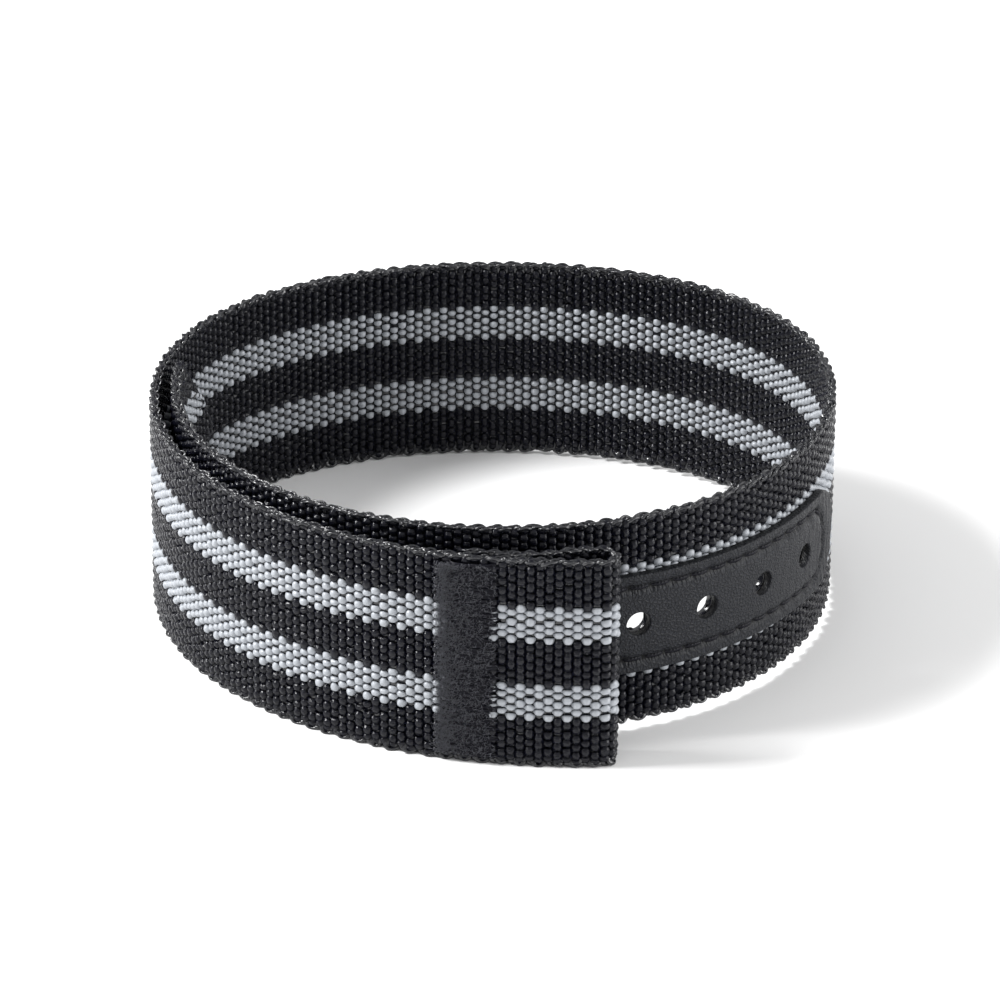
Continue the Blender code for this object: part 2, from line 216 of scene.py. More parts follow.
    def bend(self, flat: np.ndarray) -> np.ndarray:
        """Wrap flat points round the line.

        Args:
            flat: rows of length along the strap, distance out of it and height.

        Returns:
            Rows of x, y and z in the frame.
        """
        runs = flat[:, 0]
        point = [np.interp(runs, self.runs, self.points[:, axis]) for axis in (0, 1)]
        outward = [np.interp(runs, self.runs, self.outward[:, axis]) for axis in (0, 1)]
        scale = flat[:, 1] / np.hypot(*outward)
        across = self.origin[0] + point[0] + scale * outward[0]
        deep = self.origin[1] + point[1] + scale * outward[1]
        return np.stack((across, deep, flat[:, 2] + self.rise(runs)), axis=-1)


@dataclass(frozen=True)
class Span:
    """A stretch of the strap from the middle of one stiff length to the middle of the next.

    Number 0 is the folded end, whose pieces are attached to the strap's first body; the others' pieces are
    left where they are made.
    """

    number: int
    start: float
    end: float
    blend_start: float
    blend_end: float

    def carry(self, piece: bpy.types.Object, line: StrapLine) -> None:
        """Attach a piece on the folded end's span to the strap's first body, or else bake its place into
        its mesh.

        Args:
            piece: the finished piece, in its place.
            line: the strap's middle line; not used.
        """
        if self.number == 0:
            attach(piece, "strap_01")
            return
        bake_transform(piece)


@dataclass
class Layout:
    """Where the tack, the patch, its holes and the hinges are along the strap."""

    tack_from_fold: float = 0.0109
    tack_length: float = 0.0050
    first_hinge_clearance: float = 0.0011
    plain_lengths: int = 8
    patch_start: float = 0.1845
    patch_tail: float = 0.0090
    hole_count: int = 10
    hole_pitch: float = 0.00747
    hole_from_end: float = 0.0080
    holes_per_length: int = 3
    hinge_gap: float = 0.0003

    def __post_init__(self) -> None:
        """Work out the holes and the hinges."""
        first_hole = self.patch_start + self.hole_from_end
        self.holes = first_hole + self.hole_pitch * np.arange(self.hole_count)
        self.patch_end = float(self.holes[-1]) + self.patch_tail
        self.tack_end = self.tack_from_fold + self.tack_length
        first = self.tack_end + self.first_hinge_clearance
        last_plain = self.patch_start - self.hinge_gap
        hinges = list(np.linspace(first, last_plain, self.plain_lengths + 1))
        for hole in range(self.holes_per_length, self.hole_count, self.holes_per_length):
            hinges.append(0.5 * (self.holes[hole - 1] + self.holes[hole]))
        hinges.append(self.patch_end + self.hinge_gap)
        self.hinges = [float(hinge) for hinge in hinges]

    def spans(self, line: StrapLine, pick_pitch: float) -> list[Span]:
        """Cut the strap between picks at the middles of its stiff lengths.

        Args:
            line: the strap's middle line.
            pick_pitch: distance between two picks of the weave.

        Returns:
            The spans, from the folded end to the tip.
        """
        def between_picks(run: float) -> float:
            """Move a run to the nearest place halfway between two picks."""
            return (round(run / pick_pitch - 0.5) + 0.5) * pick_pitch

        ends = [*self.hinges, line.length]
        middles = [0.5 * (ends[index] + ends[index + 1]) for index in range(len(self.hinges))]
        in_tack = between_picks(0.5 * (self.tack_from_fold + self.tack_end))
        found = [Span(0, between_picks(line.flap_start), in_tack, in_tack, in_tack)]
        for number, middle in enumerate(middles, 1):
            start = found[-1].end
            end = between_picks(middle if number < len(middles) else line.length + pick_pitch)
            blend_start = self.tack_end if number == 1 else start
            found.append(Span(number, start, end, blend_start, middle))
        return found


@dataclass(frozen=True)
class RingPlaces:
    """Which ring and tube each vertex of a bundle belongs to, and where round the tube it is."""

    ring: np.ndarray
    tube: np.ndarray
    turn: np.ndarray

    @property
    def outward_share(self) -> np.ndarray:
        """Give how far out of the cloth each vertex is, as a share of the tube's half thickness."""
        return np.cos(math.tau * self.turn)

    @property
    def sideways_share(self) -> np.ndarray:
        """Give how far to the side each vertex is, as a share of the tube's half width."""
        across = np.sin(math.tau * self.turn)
        return across / np.abs(across).max()


def cap_holes(mesh: bmesh.types.BMesh, sides: int) -> None:
    """Shade a mesh smooth, and fill its holes with flat caps that have sharp rims.

    Args:
        mesh: the mesh.
        sides: the most sides that a hole may have, or 0 for any number.
    """
    for face in mesh.faces:
        face.smooth = True
    rims = [edge for edge in mesh.edges if edge.is_boundary]
    for face in bmesh.ops.holes_fill(mesh, edges=rims, sides=sides)["faces"]:
        face.smooth = False
        for edge in face.edges:
            edge.smooth = False


def take_data(mesh: bmesh.types.BMesh, name: str) -> bpy.types.Mesh:
    """Turn a drawn mesh into mesh data with a name, and free it."""
    data = bpy.data.meshes.new(name)
    mesh.to_mesh(data)
    mesh.free()
    return data


class TubeBundle:
    """Tubes drawn side by side on a unit grid, whose rings are then moved to their places.

    On the grid a vertex's x is its ring, and its nearest whole y is its tube.
    """

    ring_share: float = 0.25

    def __init__(self, tubes: int, rings: int, sides: int) -> None:
        """Draw the tubes out of circles.

        Args:
            tubes: how many tubes there are.
            rings: how many rings each has.
            sides: how many vertices each ring has.
        """
        self.sides = sides
        self.mesh = bmesh.new()
        upright = Matrix.Rotation(0.5 * math.pi, 4, "Y")
        for tube in range(tubes):
            place = Matrix.Translation((0.0, tube, 0.0)) @ upright
            bmesh.ops.create_circle(self.mesh, segments=sides, radius=self.ring_share, matrix=place)
        drawn = bmesh.ops.extrude_edge_only(self.mesh, edges=self.mesh.edges[:])["geom"]
        far = [item for item in drawn if isinstance(item, bmesh.types.BMVert)]
        bmesh.ops.translate(self.mesh, verts=far, vec=(rings - 1.0, 0.0, 0.0))
        lengthwise = [edge for edge in self.mesh.edges if edge.calc_length() > 2.0 * self.ring_share]
        bmesh.ops.subdivide_edges(self.mesh, edges=lengthwise, cuts=rings - 2, use_grid_fill=False)

    def cut(self, keeps: Callable[[np.ndarray, np.ndarray], np.ndarray]) -> None:
        """Take out the lengths of tube that aren't kept.

        Args:
            keeps: says which to keep, from the rings and tubes of the wall faces' middles.
        """
        faces = self.mesh.faces[:]
        middles = np.array([face.calc_center_median() for face in faces])
        kept = keeps(middles[:, 0], np.rint(middles[:, 1]))
        dropped = [face for face, keep in zip(faces, kept) if not keep]
        bmesh.ops.delete(self.mesh, geom=dropped, context="FACES")

    def to_data(self, name: str) -> tuple[bpy.types.Mesh, RingPlaces]:
        """Cap every open end, and turn the bundle into mesh data.

        Args:
            name: the mesh's name.

        Returns:
            The mesh, still on the grid, and each vertex's ring, tube and turn.
        """
        cap_holes(self.mesh, self.sides)
        bmesh.ops.recalc_face_normals(self.mesh, faces=self.mesh.faces[:])
        data = take_data(self.mesh, name)
        grid = read_places(data)
        tube = np.rint(grid[:, 1])
        turn = np.arctan2(grid[:, 2], grid[:, 1] - tube) / math.tau
        return data, RingPlaces(np.rint(grid[:, 0]), tube.astype(int), np.mod(turn + 1.0, 1.0))


def read_places(data: bpy.types.Mesh) -> np.ndarray:
    """Give the mesh's vertices as rows of x, y and z."""
    places = np.empty(3 * len(data.vertices), np.float32)
    data.vertices.foreach_get("co", places)
    return places.reshape(-1, 3).astype(float)


def write_places(data: bpy.types.Mesh, places: np.ndarray) -> None:
    """Move the mesh's vertices to the given rows of x, y and z."""
    data.vertices.foreach_set("co", places.astype(np.float32).ravel())
    data.update()


def add_cloth_map(data: bpy.types.Mesh, along: np.ndarray, around: np.ndarray, whole: float) -> None:
    """Give a mesh a UV map that follows its surface.

    Args:
        data: the mesh.
        along: each vertex's place along the piece.
        around: each vertex's place across or round it.
        whole: how much around grows in a full turn, or 0 where it doesn't close on itself.
    """
    corners = np.empty(len(data.loops), np.int32)
    data.loops.foreach_get("vertex_index", corners)
    starts = np.empty(len(data.polygons), np.int32)
    totals = np.empty(len(data.polygons), np.int32)
    data.polygons.foreach_get("loop_start", starts)
    data.polygons.foreach_get("loop_total", totals)
    across = around[corners]
    if whole:
        high = np.repeat(np.maximum.reduceat(across, starts), totals)
        across = np.where(high - across > 0.5 * whole, across + whole, across)
    pairs = np.stack((along[corners], across), axis=-1)
    cloth_map = data.uv_layers.new(name="cloth")
    cloth_map.uv.foreach_set("vector", pairs.astype(np.float32).ravel())


def add_value(data: bpy.types.Mesh, name: str, values: np.ndarray) -> None:
    """Give every vertex of a mesh a number that its material can read."""
    layer = data.attributes.new(name, "FLOAT", "POINT")
    layer.data.foreach_set("value", values.astype(np.float32))


class Face(Enum):
    """The two faces of the webbing."""

    OUTER = 1.0
    INNER = -1.0


def draw_tubes(
        name: str, path: np.ndarray, sides: int, half_thickness: np.ndarray | float,
        half_width: np.ndarray | float, line: StrapLine, face: Face = Face.OUTER,
        press: Callable[[np.ndarray], np.ndarray] | None = None) -> bpy.types.Mesh:
    """Draw closed tubes along flat paths and bend them along the strap's line.

    Args:
        name: the mesh's name.
        path: the tubes' middles, by tube, ring and coordinate.
        sides: how many vertices each ring has.
        half_thickness: half the tubes' thickness, for all of them or by tube and ring.
        half_width: half the tubes' width, likewise.
        line: the strap's middle line.
        face: the face that the thickness is measured towards.
        press: gives the share of the cloth's thickness that is left at each run.

    Returns:
        The mesh.
    """
    tubes, rings, _ = path.shape
    data, places = TubeBundle(tubes, rings, sides).to_data(name)
    out = np.zeros_like(path)
    out[:, :, 1] = face.value
    along = np.gradient(path, axis=1)
    along /= np.linalg.norm(along, axis=2, keepdims=True) + SMALLEST
    side = np.cross(along, out)
    side /= np.linalg.norm(side, axis=2, keepdims=True) + SMALLEST
    square = np.cross(side, along)
    even = np.ones((tubes, rings))
    pick = (places.tube, places.ring.astype(int))
    thick = (places.outward_share * (half_thickness * even)[pick])[:, None] * square[pick]
    wide = (places.sideways_share * (half_width * even)[pick])[:, None] * side[pick]
    flat = path[pick] + thick + wide
    if press is not None:
        flat[:, 1] *= press(flat[:, 0])
    write_places(data, line.bend(flat))
    add_cloth_map(data, places.ring.astype(float), places.tube + places.turn, 1.0)
    return data


def join_data(name: str, parts: Sequence[bpy.types.Mesh], slots: Sequence[int]) -> bpy.types.Mesh:
    """Join meshes into one, each on its own material slot.

    Args:
        name: the new mesh's name.
        parts: the meshes, which are used up.
        slots: each mesh's material slot.

    Returns:
        The joined mesh.
    """
    joined = bmesh.new()
    for part, slot in zip(parts, slots):
        part.polygons.foreach_set("material_index", np.full(len(part.polygons), slot, np.int32))
        joined.from_mesh(part)
        bpy.data.meshes.remove(part)
    return take_data(joined, name)


def add_object(name: str, data: bpy.types.ID) -> bpy.types.Object:
    """Put an object with its data in the scene."""
    item = bpy.data.objects.new(name, data)
    bpy.context.scene.collection.objects.link(item)
    return item


def make_piece(data: bpy.types.Mesh, finishes: Sequence[bpy.types.Material]) -> bpy.types.Object:
    """Put a mesh in the scene as one finished piece, and report it.

    Args:
        data: the mesh, in its place.
        finishes: its materials, in the order of its slots.

    Returns:
        The piece.
    """
    for finish in finishes:
        data.materials.append(finish)
    piece = add_object(data.name, data)
    LOG.info("%s has %d faces", piece.name, len(data.polygons))
    return piece


@dataclass
class Webbing:
    """The striped cloth: warp yarns along the strap, woven over and under picks that loop at the edges."""

    line: StrapLine
    layout: Layout
    black: bpy.types.Material
    grey: bpy.types.Material
    edging: bpy.types.Material
    ends: int = 48
    pick_pitch: float = 0.0009
    rings_per_pick: int = 6
    stripe_starts: tuple[int, ...] = (11, 29)
    stripe_ends: int = 8
    grey_sides: int = 8
    black_sides: int = 6
    crown: float = 0.00027
    crown_sharpness: float = 3.0
    face_share: float = 0.16
    yarn_half_thickness: float = 0.00028
    float_half_width: float = 0.00041
    black_width_share: float = 1.16
    black_reach_share: float = 1.2
    crossing_width_share: float = 0.32
    crossing_thin_share: float = 0.5
    offset_shares: tuple[float, ...] = (0.0, -0.06, -0.18, 0.02)
    width_shares: tuple[float, ...] = (0.92, 0.78, 0.84, 0.97)
    reach_shares: tuple[float, ...] = (1.08, 1.03, 1.03, 1.08)
    lift: float = 0.00003
    lift_shares: tuple[float, ...] = (1.0, -0.6, -0.4, 0.8)
    neck_kind: int = 1
    neck_rise: float = 0.0001
    neck_thickening: float = 0.00011
    jitter_share: float = 0.07
    black_jitter_share: float = 1.7
    edge_ends: int = 3
    edge_width_share: float = 0.85
    edge_crown_share: float = 0.75
    edge_draw_in: float = 0.00022
    tack_squeeze_share: float = 0.8
    squeeze_ease: float = 0.0012
    weft_half_thickness: float = 0.00013
    weft_half_width: float = 0.00052
    loop_half_thickness: float = 0.00012
    loop_half_width: float = 0.0001
    loop_rings: int = 9
    leg_rings: int = 2
    loop_leg: float = 0.0003
    loop_bulge: float = 0.00042
    loop_spread_share: float = 0.55
    loop_lean: float = 0.0001
    loop_uneven: float = 0.2
    loop_depth: float = 0.0004
    loop_depth_shares: tuple[float, ...] = (-0.35, -1.0, 0.4, 1.05)
    loop_slip: float = 0.0005
    loop_slip_shares: tuple[float, ...] = (0.0, -1.0, 1.8, 0.8)
    hole_radius: float = 0.0014
    hole_rim_radius: float = 0.00133
    hole_rim_half_width: float = 0.00012
    hole_rim_half_thickness: float = 0.00046
    hole_rim_rings: int = 40
    seal_half_thickness: float = 0.00042
    seal_half_width: float = 0.0003
    seal_uneven: float = 0.07
    seal_rings: int = 90
    tip_length: float = 0.0095
    tip_power: float = 1.3
    seed: int = 7

    def __post_init__(self) -> None:
        """Work out the spans, each end's stripe and the small differences between floats."""
        self.spans = self.layout.spans(self.line, self.pick_pitch)
        self.end_pitch = self.line.width / self.ends
        from_top = self.ends - 1 - np.arange(self.ends)
        nearest = np.where(2 * from_top < self.ends, *self.stripe_starts)
        self.is_grey = (from_top >= nearest) & (from_top < nearest + self.stripe_ends)
        self.kind = (from_top - nearest) % len(self.width_shares)
        generator = np.random.default_rng(self.seed)
        picks = math.ceil((self.line.length - self.line.flap_start) / self.pick_pitch) + 2
        self.float_jitter = self.jitter_share * generator.standard_normal((picks, self.ends))
        self.first_pick = math.floor(self.line.flap_start / self.pick_pitch) - 1

    @property
    def ring_step(self) -> float:
        """Give the distance between two rings of a yarn."""
        return self.pick_pitch / self.rings_per_pick

    def outline_run(self, heights: np.ndarray) -> np.ndarray:
        """Give where the pointed tip ends at each height."""
        share = np.clip(np.abs(heights - self.line.half_width) / self.line.half_width, 0.0, 1.0)
        return self.line.length - self.tip_length * share ** self.tip_power

    def end_heights(self) -> np.ndarray:
        """Give the height of each warp end, counted from the lower edge."""
        numbers = np.arange(self.ends)
        from_top = self.ends - 1 - numbers
        offsets = np.array(self.offset_shares)[self.kind]
        heights = self.line.half_width + self.end_pitch * (numbers - 0.5 * (self.ends - 1) - offsets)
        drawn = self.edge_draw_in * (1.0 - self.from_edge(numbers))
        return heights + np.where(numbers < from_top, drawn, -drawn)

    def from_edge(self, ends: np.ndarray) -> np.ndarray:
        """Say how far from the selvedges the warp ends are: 0 at the edge and 1 past a few ends."""
        return np.clip(np.minimum(ends, self.ends - 1 - ends) / self.edge_ends, 0.0, 1.0)

    def squeeze(self, runs: np.ndarray) -> np.ndarray:
        """Give the cloth's thickness share at each run, which the tack presses thinner."""
        outer = np.where(runs < self.line.fold_radius, self.line.opposite(runs), runs)
        start = ease((outer - self.layout.tack_from_fold + self.squeeze_ease) / self.squeeze_ease)
        end = ease((self.layout.tack_end + self.squeeze_ease - outer) / self.squeeze_ease)
        return 1.0 - (1.0 - self.tack_squeeze_share) * start * end

    def in_hole(self, runs: np.ndarray, heights: np.ndarray) -> np.ndarray:
        """Say which points lie in a punched hole."""
        away = np.abs(runs[:, None] - self.layout.holes[None, :]).min(axis=1)
        return np.hypot(away, heights - self.line.half_width) < self.hole_radius

    def yarn_places(self, places: RingPlaces, ends: np.ndarray, start: float) -> np.ndarray:
        """Place the yarns' rings in the flat cloth.

        Args:
            places: each vertex's ring, tube and turn.
            ends: the warp end that each tube is.
            start: the run of the first ring.

        Returns:
            Rows of flat x, y and z.
        """
        end = ends[places.tube]
        runs = start + self.ring_step * places.ring
        swing = np.cos(math.pi * (runs / self.pick_pitch + end)) + self.face_share
        away = np.arccos(np.clip(np.abs(swing), 0.0, 1.0)) / (0.5 * math.pi)
        kind = self.kind[end]
        pick = np.rint(runs / self.pick_pitch).astype(int) - self.first_pick
        unruly = np.where(self.is_grey[end], 1.0, self.black_jitter_share)
        jitter = self.float_jitter[pick, end] * (1.0 - away) * unruly
        from_edge = self.from_edge(end)
        crown = self.crown + self.lift * np.array(self.lift_shares)[kind] * (1.0 - away)
        crown *= self.edge_crown_share + (1.0 - self.edge_crown_share) * from_edge
        level = np.tanh(self.crown_sharpness * swing) / math.tanh(self.crown_sharpness)
        neck = np.where(kind == self.neck_kind, np.clip(-level, 0.0, 1.0), 0.0)
        middle = crown * level + self.neck_rise * neck
        share = np.array(self.width_shares)[kind]
        share = share * (self.edge_width_share + (1.0 - self.edge_width_share) * from_edge)
        reach = np.array(self.reach_shares)[kind] * np.where(self.is_grey[end], 1.0, self.black_reach_share)
        bulge = np.sqrt(np.maximum(1.0 - (away / reach) ** 2, self.crossing_width_share ** 2))
        share = share * np.where(self.is_grey[end], 1.0, self.black_width_share)
        half_width = self.float_half_width * share * bulge * (1.0 + jitter)
        thin = 1.0 - (1.0 - self.crossing_thin_share) * away
        half_thickness = self.yarn_half_thickness * thin + self.neck_thickening * neck
        outward = (middle + half_thickness * places.outward_share) * self.squeeze(runs)
        heights = self.end_heights()[end] + self.end_pitch * jitter
        runs = np.minimum(runs, self.outline_run(heights))
        return np.stack((runs, outward, heights + half_width * places.sideways_share), axis=-1)

    def weave_yarns(self, span: Span, name: str, ends: np.ndarray, sides: int) -> bpy.types.Mesh:
        """Weave some of a span's warp yarns.

        Args:
            span: the stretch of the strap.
            name: the mesh's name.
            ends: the warp ends to make.
            sides: how many vertices each ring has.

        Returns:
            The mesh, wrapped round the line.
        """
        rings = round((span.end - span.start) / self.ring_step) + 1
        bundle = TubeBundle(len(ends), rings, sides)
        heights = self.end_heights()[ends]

        def keeps(ring: np.ndarray, tube: np.ndarray) -> np.ndarray:
            """Keep the yarn that is outside the holes and short of the tip."""
            runs = span.start + self.ring_step * ring
            across = heights[tube.astype(int)]
            return ~self.in_hole(runs, across) & (runs < self.outline_run(across))

        if span.end > self.layout.patch_start:
            bundle.cut(keeps)
        data, places = bundle.to_data(name)
        flat = self.yarn_places(places, ends, span.start)
        write_places(data, self.line.bend(flat))
        along = (span.start + self.ring_step * places.ring) / self.pick_pitch
        add_cloth_map(data, along, ends[places.tube] + places.turn, 1.0)
        return data

    def weft_legs(self, span: Span) -> tuple[np.ndarray, ...]:
        """Find a span's pairs of weft picks, each joined by a loop round one edge.

        Args:
            span: the stretch of the strap.

        Returns:
            Each pair's side, 1 at the upper edge or -1 at the lower one, its two runs, the distances from
            the strap's middle at which its legs may start, and how far out its loop reaches.
        """
        first = math.ceil(span.start / self.pick_pitch)
        last = math.floor(span.end / self.pick_pitch)
        picks = np.arange(first, last + 1)
        sides = np.where(picks % 2 == 0, 1.0, -1.0)
        legs = np.stack((picks * self.pick_pitch, (picks + 1) * self.pick_pitch), axis=-1)
        away = np.abs(legs[:, :, None] - self.layout.holes[None, None, :]).min(axis=2)
        stop = np.sqrt(np.clip(self.hole_radius ** 2 - away ** 2, 0.0, None))
        tip_share = np.clip((self.line.length - legs) / self.tip_length, 0.0, 1.0) ** (1.0 / self.tip_power)
        reach = (self.line.half_width * tip_share - self.loop_half_width).min(axis=1)
        room = self.loop_leg + self.loop_bulge
        kept = (reach > stop.max(axis=1) + room) & (legs[:, 1] < self.line.length)
        return sides[kept], legs[kept], stop[kept], reach[kept]

    def weave_wefts(self, span: Span, name: str) -> bpy.types.Mesh:
        """Lay a span's weft picks, with several loose strands in each loop.

        Args:
            span: the stretch of the strap.
            name: the mesh's name.

        Returns:
            The mesh, wrapped round the line.
        """
        strands = len(self.loop_depth_shares)
        sides, legs, stop, reach = (np.repeat(part, strands, axis=0) for part in self.weft_legs(span))
        strand = (np.arange(len(sides)) % strands)[:, None]
        generator = np.random.default_rng(self.seed + span.number)
        uneven = self.loop_uneven * generator.standard_normal((3, len(sides), 1))
        turning = np.linspace(-0.5 * math.pi, 0.5 * math.pi, self.loop_rings)
        slip = self.loop_slip * np.array(self.loop_slip_shares)[strand]
        half_gap = self.loop_spread_share * self.pick_pitch * (1.0 + uneven[0])
        loop_runs = legs.mean(axis=1, keepdims=True) + slip + half_gap * np.sin(turning)
        runs = np.hstack((legs[:, (0, 0)], loop_runs, legs[:, (1, 1)]))
        base = reach[:, None] - self.loop_bulge
        bulge = self.loop_bulge * (1.0 + np.minimum(uneven[1], 0.0))
        feet = base - self.loop_leg
        # Only the first strand crosses the strap, and the others end beside it.
        ends = np.where(strand == 0, stop, feet - self.loop_leg)
        heights = np.hstack((ends[:, :1], feet, base + bulge * np.cos(turning), feet, ends[:, 1:]))
        lean = np.pad(np.sin(turning), self.leg_rings)
        round_share = np.pad(np.cos(turning), self.leg_rings)
        depth = self.loop_depth * np.array(self.loop_depth_shares)[strand]
        outward = self.loop_lean * lean * (1.0 + uneven[2] / self.loop_uneven)
        outward = outward + depth * np.sqrt(round_share)
        path = np.stack((runs, outward, self.line.half_width + sides[:, None] * heights), axis=-1)
        thinner = self.loop_half_thickness - self.weft_half_thickness
        thick = self.weft_half_thickness + thinner * round_share
        wide = self.weft_half_width + (self.loop_half_width - self.weft_half_width) * np.sqrt(round_share)
        return draw_tubes(name, path, self.black_sides, thick, wide, self.line, press=self.squeeze)

    def seal_holes(self, holes: np.ndarray, name: str) -> bpy.types.Mesh:
        """Lay the melted rims of some holes.

        Args:
            holes: the runs of the holes' middles.
            name: the mesh's name.

        Returns:
            The mesh, wrapped round the line.
        """
        turn = math.tau / self.hole_rim_rings * np.arange(self.hole_rim_rings + 2)
        runs = holes[:, None] + self.hole_rim_radius * np.cos(turn)
        heights = np.broadcast_to(self.line.half_width + self.hole_rim_radius * np.sin(turn), runs.shape)
        path = np.stack((runs, np.zeros_like(runs), heights), axis=-1)
        return draw_tubes(
            name, path, self.grey_sides, self.hole_rim_half_thickness, self.hole_rim_half_width, self.line)

    def weave_span(self, span: Span) -> None:
        """Weave one span's cloth as a piece that stands for its stiff length's node."""
        numbers = np.arange(self.ends)
        name = f"woven_cloth_{span.number + 1:02d}"
        black = self.weave_yarns(span, name + "_black", numbers[~self.is_grey], self.black_sides)
        grey = self.weave_yarns(span, name + "_grey", numbers[self.is_grey], self.grey_sides)
        parts = [black, grey, self.weave_wefts(span, name + "_weft")]
        holes = self.layout.holes[(self.layout.holes > span.start) & (self.layout.holes < span.end)]
        if len(holes):
            parts.append(self.seal_holes(holes, name + "_rims"))
        data = join_data(name, parts, (0, 1, 2, 2))
        piece = make_piece(data, (self.black, self.grey, self.edging))
        span.carry(piece, self.line)
        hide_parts(f"webbing_{span.number + 1:02d}")

    def seal_end(self, span: Span, name: str, runs: np.ndarray, heights: np.ndarray) -> None:
        """Lay the melted bead that seals a cut end of the cloth.

        Args:
            span: the stretch of the strap that the end is on.
            name: the piece's name.
            runs: the bead's middle along the strap.
            heights: its middle's heights.
        """
        generator = np.random.default_rng(self.seed)
        uneven = 1.0 + self.seal_uneven * generator.standard_normal((2, 1, len(runs)))
        path = np.stack((runs, np.zeros_like(runs), heights), axis=-1)[None]
        thick = self.seal_half_thickness * uneven[0]
        wide = self.seal_half_width * uneven[1]
        data = draw_tubes(name, path, self.grey_sides, thick, wide, self.line)
        piece = make_piece(data, (self.black,))
        span.carry(piece, self.line)

    def build(self) -> None:
        """Weave the whole strap, span by span, and seal its two cut ends."""
        for span in self.spans:
            self.weave_span(span)
        margin = self.loop_half_width
        heights = np.linspace(margin, self.line.width - margin, self.seal_rings)
        inset = 0.5 * self.seal_half_width
        self.seal_end(self.spans[-1], "sealed_tip", self.outline_run(heights) - inset, heights)
        flap_runs = np.full(self.seal_rings, self.spans[0].start)
        self.seal_end(self.spans[0], "sealed_flap_end", flap_runs, heights)


class NodeMaterial:
    """A material in the making, whose patterns follow the pieces' own UV map."""

    def __init__(self, name: str) -> None:
        """Start the material with its shader."""
        self.material = bpy.data.materials.new(name)
        self.material.use_nodes = True
        self.tree = self.material.node_tree
        self.shader = self.tree.nodes["Principled BSDF"]

    def fill(self, node: bpy.types.Node, inputs: dict[str | int, object]) -> None:
        """Fill a node's inputs.

        Args:
            node: the node.
            inputs: what goes into each input: another node's output, or a plain value.
        """
        for socket, source in inputs.items():
            if isinstance(source, bpy.types.NodeSocket):
                self.tree.links.new(source, node.inputs[socket])
            else:
                node.inputs[socket].default_value = source

    def add(self, kind: str, inputs: dict[str | int, object], **settings: str) -> bpy.types.Node:
        """Add a node.

        Args:
            kind: what sort of node it is.
            inputs: what goes into its inputs.
            settings: its own settings.

        Returns:
            The node.
        """
        node = self.tree.nodes.new("ShaderNode" + kind)
        for setting, choice in settings.items():
            setattr(node, setting, choice)
        self.fill(node, inputs)
        return node

    def cloth_places(self) -> bpy.types.NodeSocket:
        """Give the output with the place on the piece's own UV map."""
        return self.add("UVMap", {}, uv_map="cloth").outputs["UV"]

    def emboss(self, height: bpy.types.NodeSocket, depth: float) -> None:
        """Raise the surface where a pattern is bright."""
        bump = self.add("Bump", {"Height": height, "Distance": depth})
        self.fill(self.shader, {"Normal": bump.outputs["Normal"]})

    def finish(self, inputs: dict[str | int, object]) -> bpy.types.Material:
        """Fill the shader's inputs and give the material."""
        self.fill(self.shader, inputs)
        return self.material


@dataclass(frozen=True)
class YarnFinish:
    """Multifilament yarn with a fine grain along it and small differences from float to float."""

    name: str
    colour: tuple[float, float, float]
    roughness: float
    specular: float
    drawn_out: float
    filament_depth: float
    varied_share: float = 0.12
    filaments: float = 14.0
    filament_stretch: float = 1.6
    across: float = 0.25

    def make(self) -> bpy.types.Material:
        """Make the material."""
        maker = NodeMaterial(self.name)
        scale = (self.filament_stretch, self.filaments, 1.0)
        stretch = maker.add("Mapping", {"Vector": maker.cloth_places(), "Scale": scale})
        filament = maker.add(
            "TexNoise", {"Vector": stretch.outputs["Vector"], "Scale": 1.0, "Detail": 2.0},
            noise_dimensions="2D").outputs["Fac"]
        maker.emboss(filament, self.filament_depth)
        tone = maker.add("MapRange", {
            "Value": filament, "To Min": 1.0 - self.varied_share, "To Max": 1.0 + self.varied_share})
        tint = maker.add("Mix", {
            "Factor": 1.0, FIRST_COLOUR: (*self.colour, 1.0), SECOND_COLOUR: tone.outputs["Result"],
        }, data_type="RGBA", blend_type="MULTIPLY")
        lengthwise = maker.add("Tangent", {}, direction_type="UV_MAP", uv_map="cloth")
        return maker.finish({
            "Base Color": tint.outputs[MIXED_COLOUR], "Roughness": self.roughness,
            "Specular IOR Level": self.specular, "Tangent": lengthwise.outputs["Tangent"],
            "Anisotropic": self.drawn_out, "Anisotropic Rotation": self.across})


@dataclass(frozen=True)
class BlackYarn(YarnFinish):
    """The black warp, with a hard narrow shine."""

    name: str = "black_yarn"
    colour: tuple[float, float, float] = (0.0032, 0.0034, 0.007)
    roughness: float = 0.19
    specular: float = 0.27
    drawn_out: float = 0.9
    filament_depth: float = 0.00007


@dataclass(frozen=True)
class GreyYarn(YarnFinish):
    """The stripes' warp, with a softer shine."""

    name: str = "grey_yarn"
    colour: tuple[float, float, float] = (0.345, 0.364, 0.393)
    roughness: float = 0.34
    specular: float = 0.6
    drawn_out: float = 0.5
    filament_depth: float = 0.00004


@dataclass(frozen=True)
class BlackEdging(YarnFinish):
    """The weft that loops round the edges, and the melted rims, which shine most."""

    name: str = "black_edging"
    colour: tuple[float, float, float] = (0.0055, 0.006, 0.009)
    roughness: float = 0.22
    specular: float = 0.7
    drawn_out: float = 0.6
    filament_depth: float = 0.00002


